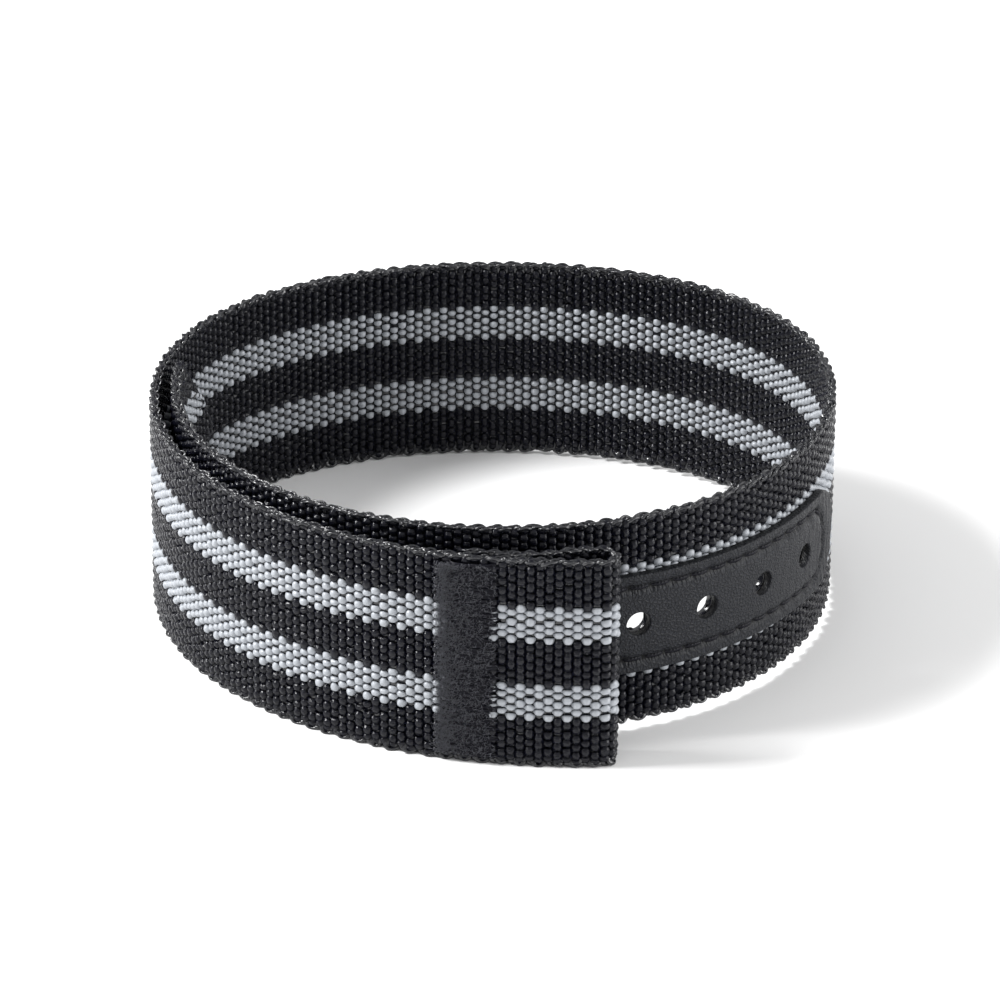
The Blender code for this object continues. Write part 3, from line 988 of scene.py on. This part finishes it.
@dataclass(frozen=True)
class ThreadFinish:
    """Twisted sewing thread."""

    name: str = "black_thread"
    colour: tuple[float, float, float] = (0.004, 0.004, 0.0075)
    roughness: float = 0.4
    specular: float = 0.15
    twist_scale: float = 3.0
    twist_stretch: float = 2.0
    twist_distortion: float = 0.5
    twist_depth: float = 0.00003

    def make(self) -> bpy.types.Material:
        """Make the material."""
        maker = NodeMaterial(self.name)
        scale = (1.0, self.twist_stretch, 1.0)
        turn = maker.add("Mapping", {"Vector": maker.cloth_places(), "Scale": scale})
        twist = maker.add("TexWave", {
            "Vector": turn.outputs["Vector"], "Scale": self.twist_scale / math.tau,
            "Distortion": self.twist_distortion}, bands_direction="DIAGONAL")
        maker.emboss(twist.outputs["Fac"], self.twist_depth)
        return maker.finish({
            "Base Color": (*self.colour, 1.0), "Roughness": self.roughness,
            "Specular IOR Level": self.specular})


@dataclass(frozen=True)
class FibreSheenFinish(ThreadFinish):
    """The tack's loose fibres, coloured far lighter than the thread as a painted sheen for the light that
    thin fibres catch.
    """

    name: str = "loose_fibre_painted_sheen"
    # Painted sheen: far lighter than the black thread, for the light that the thin fibres catch.
    colour: tuple[float, float, float] = (0.132, 0.136, 0.156)
    roughness: float = 0.35
    specular: float = 0.5


@dataclass(frozen=True)
class LeatherFinish:
    """Dark satin leather with a fine grain and darker grain cracks, with painted shade along the seam
    groove and dark edge paint on its cut sides.
    """

    name: str = "charcoal_leather"
    colour: tuple[float, float, float] = (0.0115, 0.0128, 0.0172)
    # One dark colour for the seam groove's painted shade, the cut sides' edge paint and the grain's cracks.
    shade_crack_and_edge_colour: tuple[float, float, float] = (0.002, 0.002, 0.002)
    roughness: float = 0.38
    specular: float = 0.22
    grain_scale: float = 0.5
    crack_half_width: float = 0.3
    crack_share: float = 0.5
    pore_scale: float = 0.9
    pore_share: float = 1.2
    grain_depth: float = 0.0001

    def make(self) -> bpy.types.Material:
        """Make the material."""
        maker = NodeMaterial(self.name)
        cloth = maker.cloth_places()
        grain = maker.add(
            "TexVoronoi", {"Vector": cloth, "Scale": self.grain_scale},
            voronoi_dimensions="2D", feature="DISTANCE_TO_EDGE")
        crack = maker.add("MapRange", {
            "Value": grain.outputs["Distance"], "From Max": self.crack_half_width,
            "To Min": self.crack_share, "To Max": 0.0}, interpolation_type="SMOOTHSTEP").outputs["Result"]
        pores = maker.add(
            "TexNoise", {"Vector": cloth, "Scale": self.pore_scale, "Detail": 3.0}, noise_dimensions="2D")
        sunk = maker.add("Math", {0: 1.0, 1: crack}, operation="SUBTRACT").outputs["Value"]
        both = maker.add(
            "Math", {0: pores.outputs["Fac"], 1: self.pore_share, 2: sunk}, operation="MULTIPLY_ADD")
        maker.emboss(both.outputs["Value"], self.grain_depth)
        groove_shade_and_edge_paint = maker.add("Attribute", {}, attribute_name="groove_shade_and_edge_paint")
        # Painted shade darkens the seam groove, edge paint darkens the cut sides, and the grain's cracks
        # are coloured darker.
        darkest = maker.add("Math", {0: groove_shade_and_edge_paint.outputs["Fac"], 1: crack}, operation="MAXIMUM")
        mix = maker.add("Mix", {
            "Factor": darkest.outputs["Value"], FIRST_COLOUR: (*self.colour, 1.0),
            SECOND_COLOUR: (*self.shade_crack_and_edge_colour, 1.0)}, data_type="RGBA")
        return maker.finish({
            "Base Color": mix.outputs[MIXED_COLOUR], "Roughness": self.roughness,
            "Specular IOR Level": self.specular})


@dataclass
class LeatherPatch:
    """The leather strip on the webbing's outer face, with round ends, a seam line in a sunken groove, and
    holes.
    """

    line: StrapLine
    layout: Layout
    finish: bpy.types.Material
    height: float = 0.0104
    end_depth: float = 0.0042
    seat: float = 0.00056
    face: float = 0.0014
    hole_radius: float = 0.0012
    cells_per_pitch: int = 36
    start_cells: int = 39
    tail_cells: int = 43
    rows: int = 50
    hole_cells: int = 6
    calm_cells: int = 16
    rim_angle: float = 1.0
    rim_round: float = 0.00014
    rim_segments: int = 2
    seam_inset: float = 0.0014
    seam_end_inset: float = 0.0032
    seam_step: float = 0.0001
    groove_depth: float = 0.00034
    groove_half_width: float = 0.00036
    margin_drop: float = 0.00004
    stitch_length: float = 0.0022
    pucker_depth: float = 0.00018
    pucker_reach: float = 0.0007
    wave_depth: float = 0.00002
    wave_length: float = 0.0021
    crease_depth: float = 0.00004
    crease_length: float = 0.00098
    crease_zone: float = 0.0140
    wave_wander: float = 1.3
    wave_lean_shares: tuple[float, float, float] = (0.31, 0.37, 0.6)
    crease_wander: float = 2.0
    crease_lean_share: float = 0.13
    # How far the seam groove's painted shade reaches, in groove half widths, and how deep the dark edge
    # paint goes down the cut sides.
    groove_shade_reach: float = 1.3
    edge_paint_depth: float = 0.0003
    arc_points: int = 200
    batch: int = 4000

    def __post_init__(self) -> None:
        """Work out the cells and the seam line."""
        between = self.cells_per_pitch * (self.layout.hole_count - 1)
        self.columns = self.start_cells + between + self.tail_cells
        self.column_marks = (0, self.start_cells, self.start_cells + between, self.columns)
        self.run_marks = (
            self.layout.patch_start, float(self.layout.holes[0]), float(self.layout.holes[-1]),
            self.layout.patch_end)
        self.cell = self.layout.hole_pitch / self.cells_per_pitch
        self.seam = self.seam_line()

    def seam_box(self) -> tuple[float, float, float, float]:
        """Give the seam line's half height, its ends' depth and the runs between which it is straight."""
        depth = self.end_depth - self.seam_inset
        near = self.layout.patch_start + self.seam_end_inset + depth
        far = self.layout.patch_end - self.seam_end_inset - depth
        return 0.5 * self.height - self.seam_inset, depth, near, far

    def seam_line(self) -> np.ndarray:
        """Give the closed seam line as evenly spaced rows of run and height."""
        half, depth, near, far = self.seam_box()
        middle = self.line.half_width
        end_turn = np.linspace(-0.5 * math.pi, 0.5 * math.pi, self.arc_points)
        far_end = np.stack((far + depth * np.cos(end_turn), middle + half * np.sin(end_turn)), axis=-1)
        near_end = np.stack((near - depth * np.cos(end_turn), middle - half * np.sin(end_turn)), axis=-1)
        corners = np.concatenate((far_end, near_end, far_end[:1]))
        lengths = np.concatenate(([0.0], np.cumsum(np.linalg.norm(np.diff(corners, axis=0), axis=1))))
        self.stitches = round(lengths[-1] / self.stitch_length)
        steps = self.stitches * round(self.stitch_length / self.seam_step)
        spots = np.linspace(0.0, lengths[-1], steps, endpoint=False)
        return np.stack([np.interp(spots, lengths, corners[:, axis]) for axis in (0, 1)], axis=-1)

    def round_ends(self, runs: np.ndarray, heights: np.ndarray) -> tuple[np.ndarray, np.ndarray]:
        """Turn the strip's square ends into round ones.

        Args:
            runs: lengths along the strap.
            heights: heights above the patch's middle.

        Returns:
            The runs and heights moved.
        """
        half = 0.5 * self.height
        near = self.layout.patch_start + self.end_depth
        far = self.layout.patch_end - self.end_depth
        side = np.where(runs < near, -1.0, 1.0)
        base = np.where(runs < near, near, far)
        deep = np.clip(side * (runs - base), 0.0, None) / self.end_depth
        high = heights / half
        reach, turn = disc_from_square(deep, high)
        inside = deep > 0.0
        runs = np.where(inside, base + side * self.end_depth * reach * np.cos(turn), runs)
        return runs, np.where(inside, half * reach * np.sin(turn), heights)

    def round_holes(self, columns: np.ndarray, rows: np.ndarray) -> tuple[np.ndarray, np.ndarray]:
        """Draw the cells about each hole into circles.

        Args:
            columns: each vertex's column.
            rows: each vertex's row.

        Returns:
            Runs, and heights above the patch's middle.
        """
        runs = np.interp(columns, self.column_marks, self.run_marks)
        heights = (rows - 0.5 * self.rows) * self.height / self.rows
        for number, hole in enumerate(self.layout.holes):
            across = columns - self.start_cells - self.cells_per_pitch * number
            up = rows - 0.5 * self.rows
            reach, turn = disc_from_square(across, up)
            share = 1.0 - ease((reach - self.hole_cells) / (self.calm_cells - self.hole_cells))
            share = np.where(reach < self.calm_cells, share, 0.0)
            radius = self.hole_radius + self.cell * (reach - self.hole_cells)
            runs = (1.0 - share) * runs + share * (hole + radius * np.cos(turn))
            heights = (1.0 - share) * heights + share * radius * np.sin(turn)
        return runs, heights

    def flat_slab(self) -> bmesh.types.BMesh:
        """Make the whole flat patch with its holes and rounded rims."""
        mesh = bmesh.new()
        bmesh.ops.create_grid(mesh, x_segments=self.columns, y_segments=self.rows, size=1.0)
        for vert in mesh.verts:
            vert.co.x = 0.5 * (vert.co.x + 1.0) * self.columns
            vert.co.y = 0.5 * (vert.co.y + 1.0) * self.rows
        punched = []
        for face in mesh.faces:
            column, row, _ = face.calc_center_median()
            half_pitch = 0.5 * self.cells_per_pitch
            number, past = divmod(column - self.start_cells + half_pitch, self.cells_per_pitch)
            away = max(abs(past - half_pitch), abs(row - 0.5 * self.rows))
            if 0 <= number < self.layout.hole_count and away < self.hole_cells:
                punched.append(face)
        bmesh.ops.delete(mesh, geom=punched, context="FACES")
        raised = bmesh.ops.extrude_face_region(mesh, geom=mesh.faces[:])["geom"]
        upper = [item for item in raised if isinstance(item, bmesh.types.BMVert)]
        bmesh.ops.translate(mesh, verts=upper, vec=(0.0, 0.0, 1.0))
        grid = np.array([vert.co for vert in mesh.verts])
        runs, heights = self.round_holes(np.rint(grid[:, 0]), np.rint(grid[:, 1]))
        runs, heights = self.round_ends(runs, heights)
        outward = np.where(grid[:, 2] > 0.5, self.face, self.seat)
        flat = np.stack((runs, outward, self.line.half_width + heights), axis=-1)
        for vert, place in zip(mesh.verts, flat):
            vert.co = place
        bmesh.ops.recalc_face_normals(mesh, faces=mesh.faces[:])
        middle = 0.5 * (self.face + self.seat)
        upper_edges = [edge for edge in mesh.edges if min(vert.co.y for vert in edge.verts) > middle]
        rim = [edge for edge in upper_edges if edge.calc_face_angle() > self.rim_angle]
        bmesh.ops.bevel(
            mesh, geom=rim, offset=self.rim_round, offset_type="OFFSET", segments=self.rim_segments,
            profile=0.5, affect="EDGES", clamp_overlap=True, material=-1)
        return mesh

    def nearest_seam(self, spots: np.ndarray) -> tuple[np.ndarray, np.ndarray]:
        """Find the seam's nearest point to each spot.

        Args:
            spots: rows of run and height.

        Returns:
            The points' numbers along the seam, and their distances.
        """
        index = np.empty(len(spots), int)
        nearest = np.empty(len(spots))
        for start in range(0, len(spots), self.batch):
            part = spots[start:start + self.batch, None]
            away = np.hypot(part[:, :, 0] - self.seam[:, 0], part[:, :, 1] - self.seam[:, 1])
            index[start:start + self.batch] = away.argmin(axis=1)
            nearest[start:start + self.batch] = away.min(axis=1)
        return index, nearest

    def press(self, flat: np.ndarray) -> tuple[np.ndarray, np.ndarray]:
        """Press the seam line, its puckers and the leather's own waves into the outer face.

        Args:
            flat: rows of flat x, y and z.

        Returns:
            The rows moved, and how dark each place is from 0 to 1: painted shade along the seam groove and
            dark edge paint on the cut sides.
        """
        spots = flat[:, (0, 2)]
        index, nearest = self.nearest_seam(spots)
        half = self.line.half_width
        outside = self.outside_seam(spots)
        top = (flat[:, 1] - self.seat) / (self.face - self.seat)
        groove = self.groove_depth * np.exp(-(nearest / self.groove_half_width) ** 2)
        per_stitch = len(self.seam) / self.stitches
        beat = np.cos(math.tau * index / per_stitch)
        pucker = self.pucker_depth * (0.5 + 0.5 * beat) ** 3 * np.exp(-(nearest / self.pucker_reach) ** 2)
        margin = self.margin_drop * ease(outside * nearest / self.groove_half_width)
        turn = math.tau / self.wave_length
        bent, along, across = self.wave_lean_shares
        wander = self.wave_wander * np.sin(bent * turn * flat[:, 2])
        wave = self.wave_depth * np.sin(turn * flat[:, 0] + wander)
        wave *= np.sin(along * turn * flat[:, 0] + across * turn * (flat[:, 2] - half))
        zone = 1.0 - ease((flat[:, 0] - self.layout.patch_start) / self.crease_zone)
        crease_turn = math.tau / self.crease_length
        wander = self.crease_wander * np.sin(self.crease_lean_share * crease_turn * (flat[:, 2] - half))
        crease = self.crease_depth * zone * np.sin(crease_turn * flat[:, 0] + wander)
        moved = flat.copy()
        moved[:, 1] -= top * (groove + pucker + margin + wave + crease)
        # in_groove paints shade along the seam groove; on_edge is the dark edge paint on the cut sides.
        in_groove = np.clip(self.groove_shade_reach - nearest / self.groove_half_width, 0.0, 1.0)
        on_edge = ease((self.face - flat[:, 1]) / self.edge_paint_depth)
        return moved, np.maximum(in_groove, on_edge)

    def outside_seam(self, spots: np.ndarray) -> np.ndarray:
        """Say which spots lie between the seam and the patch's edge."""
        half, depth, near, far = self.seam_box()
        beyond = np.clip(np.maximum(near - spots[:, 0], spots[:, 0] - far), 0.0, None) / depth
        high = (spots[:, 1] - self.line.half_width) / half
        return np.hypot(beyond, high) > 1.0

    def build(self, spans: Sequence[Span]) -> None:
        """Make the patch, one piece for each span that it lies on.

        Args:
            spans: the strap's spans.
        """
        whole = self.flat_slab()
        for span in spans:
            if span.end < self.layout.patch_start or span.start > self.layout.patch_end:
                continue
            mesh = whole.copy()
            for run, side in ((span.start, -1.0), (span.end, 1.0)):
                everything = mesh.verts[:] + mesh.edges[:] + mesh.faces[:]
                bmesh.ops.bisect_plane(
                    mesh, geom=everything, plane_co=(run, 0.0, 0.0), plane_no=(side, 0.0, 0.0),
                    clear_outer=True)
            cap_holes(mesh, 0)
            data = take_data(mesh, f"leather_patch_{span.number + 1:02d}")
            flat, dark = self.press(read_places(data))
            write_places(data, self.line.bend(flat))
            add_cloth_map(data, flat[:, 0] / self.cell, (flat[:, 2] + flat[:, 1]) / self.cell, 0.0)
            # The groove's painted shade and the edge paint reach the material as this value.
            add_value(data, "groove_shade_and_edge_paint", dark)
            piece = make_piece(data, (self.finish,))
            span.carry(piece, self.line)
            if span.start < self.layout.hinges[-2]:
                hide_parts(f"patch_{span.number + 1:02d}")
        whole.free()


def disc_from_square(across: np.ndarray, up: np.ndarray) -> tuple[np.ndarray, np.ndarray]:
    """Map points of nested squares to nested circles.

    Args:
        across: sideways places about the middle.
        up: upward places about the middle.

    Returns:
        Each point's circle radius and its turn from the sideways direction.
    """
    reach = np.maximum(np.abs(across), np.abs(up))
    safe = np.where(reach > 0.0, reach, 1.0)
    flat_side = np.abs(across) >= np.abs(up)
    eighth = math.pi / 4
    low = eighth * up / np.where(flat_side, np.where(across == 0.0, safe, across), 1.0)
    low = np.where(across < 0.0, math.pi + low, low)
    high = 2.0 * eighth - eighth * across / np.where(flat_side, 1.0, up)
    high = np.where(up < 0.0, math.pi + high, high)
    return reach, np.where(flat_side, low, high)


@dataclass
class PatchSeam:
    """The lockstitch round the patch: needle thread on the leather and bobbin thread on the webbing."""

    patch: LeatherPatch
    finish: bpy.types.Material
    rings: int = 9
    sides: int = 6
    half_width: float = 0.00019
    half_thickness: float = 0.00016
    needle_level: float = 0.0011
    bobbin_level: float = 0.00056
    sink: float = 0.00038
    gap_share: float = 0.05

    def stitch_paths(self, face: Face) -> np.ndarray:
        """Give the path of every stitch on one face.

        Args:
            face: the outer face for needle thread, the inner one for bobbin thread.

        Returns:
            The paths, by stitch, ring and flat coordinate.
        """
        seam = self.patch.seam
        count = self.patch.stitches
        shift = 0.0 if face is Face.OUTER else 0.5
        shares = np.linspace(self.gap_share, 1.0 - self.gap_share, self.rings)
        spots = (np.arange(count)[:, None] + shift + shares[None, :]) * len(seam) / count
        closed = np.concatenate((seam, seam[:1]))
        spots = np.mod(spots, len(seam))
        runs = np.interp(spots, np.arange(len(closed)), closed[:, 0])
        heights = np.interp(spots, np.arange(len(closed)), closed[:, 1])
        level = self.needle_level if face is Face.OUTER else self.bobbin_level
        bow = np.sin(math.pi * np.linspace(0.0, 1.0, self.rings)) ** 0.5
        outward = face.value * (level - self.sink * (1.0 - bow))
        return np.stack((runs, np.broadcast_to(outward, runs.shape), heights), axis=-1)

    def build_face(self, spans: Sequence[Span], face: Face, name: str) -> None:
        """Make one face's stitches, one piece for each span.

        Args:
            spans: the strap's spans.
            face: which face they lie on.
            name: the start of the pieces' names.
        """
        paths = self.stitch_paths(face)
        middles = paths[:, self.rings // 2, 0]
        line = self.patch.line
        for span in spans:
            chosen = paths[(middles >= span.start) & (middles < span.end)]
            if not len(chosen):
                continue
            data = draw_tubes(
                f"{name}_stitches_{span.number + 1:02d}", chosen, self.sides, self.half_thickness,
                self.half_width, line, face)
            piece = make_piece(data, (self.finish,))
            span.carry(piece, line)
            start = f"seam_{name}_{span.number + 1:02d}"
            nodes = [node for node in frame["nodes"] if node.startswith(start)]
            if nodes:
                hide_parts(*nodes)

    def build(self, spans: Sequence[Span]) -> None:
        """Make both faces' stitches."""
        self.build_face(spans, Face.OUTER, "needle")
        self.build_face(spans, Face.INNER, "bobbin")


@dataclass
class BarTack:
    """The dense zigzag of fuzzy thread that sews the flap to the strap."""

    line: StrapLine
    layout: Layout
    finish: bpy.types.Material
    fuzz: bpy.types.Material
    height: float = 0.0202
    shift: float = 0.0007
    run_pitch: float = 0.00024
    passes: int = 3
    rings_per_run: int = 8
    sides: int = 5
    half_thickness: float = 0.00009
    half_width: float = 0.00013
    level: float = 0.0005
    pass_lift: float = 0.00004
    dive: float = 0.0004
    ragged: float = 0.0008
    slant_share: float = 0.8
    bow_power: float = 0.35
    stray_share: float = 0.3
    lift_shares: tuple[float, float] = (0.3, 1.4)
    fibres: int = 4800
    fibre_crowding: float = 2.7
    fibre_stray: float = 0.00035
    fibre_rings: int = 5
    fibre_sides: int = 3
    fibre_radius: float = 0.000016
    fibre_length: float = 0.00048
    fibre_lift: float = 0.00022
    fibre_level: float = 0.00066
    fibre_turn: float = 1.2
    long_fibres: int = 40
    long_share: float = 2.6
    length_shares: tuple[float, float] = (0.4, 1.3)
    arch_shares: tuple[float, float] = (0.1, 1.0)
    seed: int = 11

    def zigzag(self, generator: np.random.Generator, start: float, end: float) -> np.ndarray:
        """Give the paths of the passes of thread over one face.

        Args:
            generator: where the small differences come from.
            start: the run at which the band starts.
            end: the run at which it ends.

        Returns:
            The paths, by pass, ring and flat coordinate.
        """
        runs = round(self.height / self.run_pitch)
        base = 0.5 * (self.line.width - self.height)
        share = np.linspace(0.0, 1.0, self.rings_per_run)
        bow = np.sin(math.pi * share) ** self.bow_power
        path = np.empty((self.passes, runs * self.rings_per_run, 3))
        for number in range(self.passes):
            ends = generator.uniform(-self.ragged, self.ragged, (runs, 2))
            near = start + ends[:, :1]
            far = end + ends[:, 1:]
            forward = np.arange(runs)[:, None] % 2 == number % 2
            along = np.where(forward, near + (far - near) * share, far + (near - far) * share)
            stray = generator.uniform(-self.stray_share, self.stray_share, (runs, 1))
            offset = number / self.passes + stray
            up = base + self.run_pitch * (np.arange(runs)[:, None] + offset + self.slant_share * share)
            lift = generator.uniform(*self.lift_shares, (runs, 1)) * self.pass_lift * (number + 1)
            out = self.level + lift * bow - self.dive * (1.0 - bow)
            path[number] = np.stack((along, out, up), axis=-1).reshape(-1, 3)
        return path

    def fluff(self, generator: np.random.Generator, outer: float, inner: float) -> np.ndarray:
        """Give the paths of the loose fibres over one face, which crowd towards one side of the band; on
        the outer face that is the side facing the key lamp, so the painted-sheen fibres make it lighter.

        Args:
            generator: where their places come from.
            outer: the run of the side where they crowd.
            inner: the run of the band's other side.

        Returns:
            The paths, by fibre, ring and flat coordinate.
        """
        count = self.fibres
        base = 0.5 * (self.line.width - self.height)
        # Crowding the painted-sheen fibres towards the outer side paints the band lighter on the side
        # facing the key lamp.
        run = outer + (inner - outer) * generator.uniform(0.0, 1.0, (count, 1)) ** self.fibre_crowding
        run += generator.normal(0.0, self.fibre_stray, (count, 1))
        up = base + generator.uniform(0.0, self.height, (count, 1))
        heading = generator.normal(0.0, self.fibre_turn, (count, 1))
        length = self.fibre_length * generator.uniform(*self.length_shares, (count, 1))
        length[:self.long_fibres] *= self.long_share
        curl = generator.normal(0.0, 1.0, (count, 1))
        share = np.linspace(-0.5, 0.5, self.fibre_rings)[None, :]
        turn = heading + curl * share
        along = run + length * share * np.cos(turn)
        high = up + length * share * np.sin(turn)
        arch = generator.uniform(*self.arch_shares, (count, 1)) * self.fibre_lift * np.cos(math.pi * share)
        return np.stack((along, self.fibre_level + arch, high), axis=-1)

    def build_face(self, name: str, node: str, start: float, end: float) -> None:
        """Sew one face's thread.

        Args:
            name: the piece's name.
            node: the CAD node that it stands for.
            start: the run at which the band starts.
            end: the run at which it ends.
        """
        generator = np.random.default_rng(self.seed)
        path = self.zigzag(generator, start, end)
        thread = draw_tubes(
            name + "_thread", path, self.sides, self.half_thickness, self.half_width, self.line)
        path = self.fluff(generator, end, start)
        fluff = draw_tubes(
            name + "_fluff", path, self.fibre_sides, self.fibre_radius, self.fibre_radius, self.line)
        data = join_data(name, (thread, fluff), (0, 1))
        piece = make_piece(data, (self.finish, self.fuzz))
        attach(piece, "strap_01")
        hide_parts(node)

    def build(self) -> None:
        """Sew the band on the outer face and its underside on the flap."""
        start = self.layout.tack_from_fold + self.shift
        end = self.layout.tack_end + self.shift
        self.build_face("tack_needle_zigzag", "tack_needle_thread", start, end)
        under = max(self.line.opposite(end), self.line.flap_start + self.ragged)
        self.build_face("tack_bobbin_zigzag", "tack_bobbin_thread", under, self.line.opposite(start))


@dataclass
class Studio:
    """The pale floor, the soft lights and the camera."""

    floor_size: float = 3.0
    floor_grey: float = 0.86
    floor_roughness: float = 0.9
    camera_elevation: float = math.radians(25.095)
    camera_distance: float = 0.5412
    camera_aim: tuple[float, float, float] = (0.0008, 0.0004, 0.0110)
    camera_roll: float = math.radians(0.4448)
    lens_share: float = 5.335
    sensor: float = 36.0
    world_strength: float = 0.72
    key_place: tuple[float, float, float] = (-0.556, 0.0, 0.575)
    key_size: float = 0.24
    key_power: float = 9.8
    side_place: tuple[float, float, float] = (0.834, -0.1, 0.337)
    side_size: float = 0.5
    side_power: float = 5.6

    def add_floor(self) -> None:
        """Lay the floor, which shows white to the camera and keeps the shadow."""
        mesh = bmesh.new()
        bmesh.ops.create_grid(mesh, x_segments=1, y_segments=1, size=0.5 * self.floor_size)
        data = take_data(mesh, "studio_floor")
        colour = (self.floor_grey, self.floor_grey, self.floor_grey, 1.0)
        maker = NodeMaterial("studio_floor")
        data.materials.append(maker.finish({"Base Color": colour, "Roughness": self.floor_roughness}))
        floor = add_object("studio_floor", data)

    def add_lamp(self, name: str, place: tuple[float, float, float], size: float, power: float) -> None:
        """Hang a soft lamp that faces the strap.

        Args:
            name: the lamp's name.
            place: where it hangs.
            size: its width and height.
            power: its power in watts.
        """
        lamp = bpy.data.lights.new(name, "AREA")
        lamp.shape = "SQUARE"
        lamp.size = size
        lamp.energy = power
        item = add_object(name, lamp)
        item.location = place
        item.rotation_euler = (-Vector(place)).to_track_quat("-Z", "Y").to_euler()

    def add_world(self) -> None:
        """Surround the scene with even pale light."""
        world = bpy.data.worlds.new("studio_world")
        world.use_nodes = True
        background = world.node_tree.nodes["Background"]
        background.inputs["Color"].default_value = (1.0, 1.0, 1.0, 1.0)
        background.inputs["Strength"].default_value = self.world_strength
        bpy.context.scene.world = world

    def add_camera(self) -> None:
        """Set the camera at the photograph's viewing angle."""
        camera = bpy.data.cameras.new("photo_camera")
        camera.sensor_width = self.sensor
        camera.lens = self.lens_share * self.sensor
        item = add_object("photo_camera", camera)
        level = self.camera_distance * math.cos(self.camera_elevation)
        raised = self.camera_distance * math.sin(self.camera_elevation)
        place = Vector(self.camera_aim) + Vector((0.0, -level, raised))
        tilt = Matrix.Rotation(0.5 * math.pi - self.camera_elevation, 4, "X")
        item.matrix_world = Matrix.Translation(place) @ tilt @ Matrix.Rotation(self.camera_roll, 4, "Z")
        bpy.context.scene.camera = item

    def build(self) -> None:
        """Set up the whole studio."""
        self.add_floor()
        self.add_world()
        self.add_lamp("key_lamp", self.key_place, self.key_size, self.key_power)
        self.add_lamp("side_lamp", self.side_place, self.side_size, self.side_power)
        self.add_camera()
        bpy.context.scene.view_settings.view_transform = "Standard"


def main() -> None:
    """Build the strap's looks round its frame."""
    logging.basicConfig(level=logging.INFO)
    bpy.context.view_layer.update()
    line = StrapLine()
    layout = Layout()
    first_hinge = next(joint for joint in frame["joints"] if joint["name"] == "uncoil_01")
    on_line = line.on_coil(np.array(layout.hinges[:1]), np.zeros(1))[0]
    line.origin = np.array(first_hinge["pos_m"][:2]) - on_line
    webbing = Webbing(line, layout, BlackYarn().make(), GreyYarn().make(), BlackEdging().make())
    webbing.build()
    thread = ThreadFinish().make()
    fuzz = FibreSheenFinish().make()
    patch = LeatherPatch(line, layout, LeatherFinish().make())
    patch.build(webbing.spans)
    PatchSeam(patch, thread).build(webbing.spans)
    BarTack(line, layout, thread, fuzz).build()
    Studio().build()


if __name__ == "__main__":
    main()
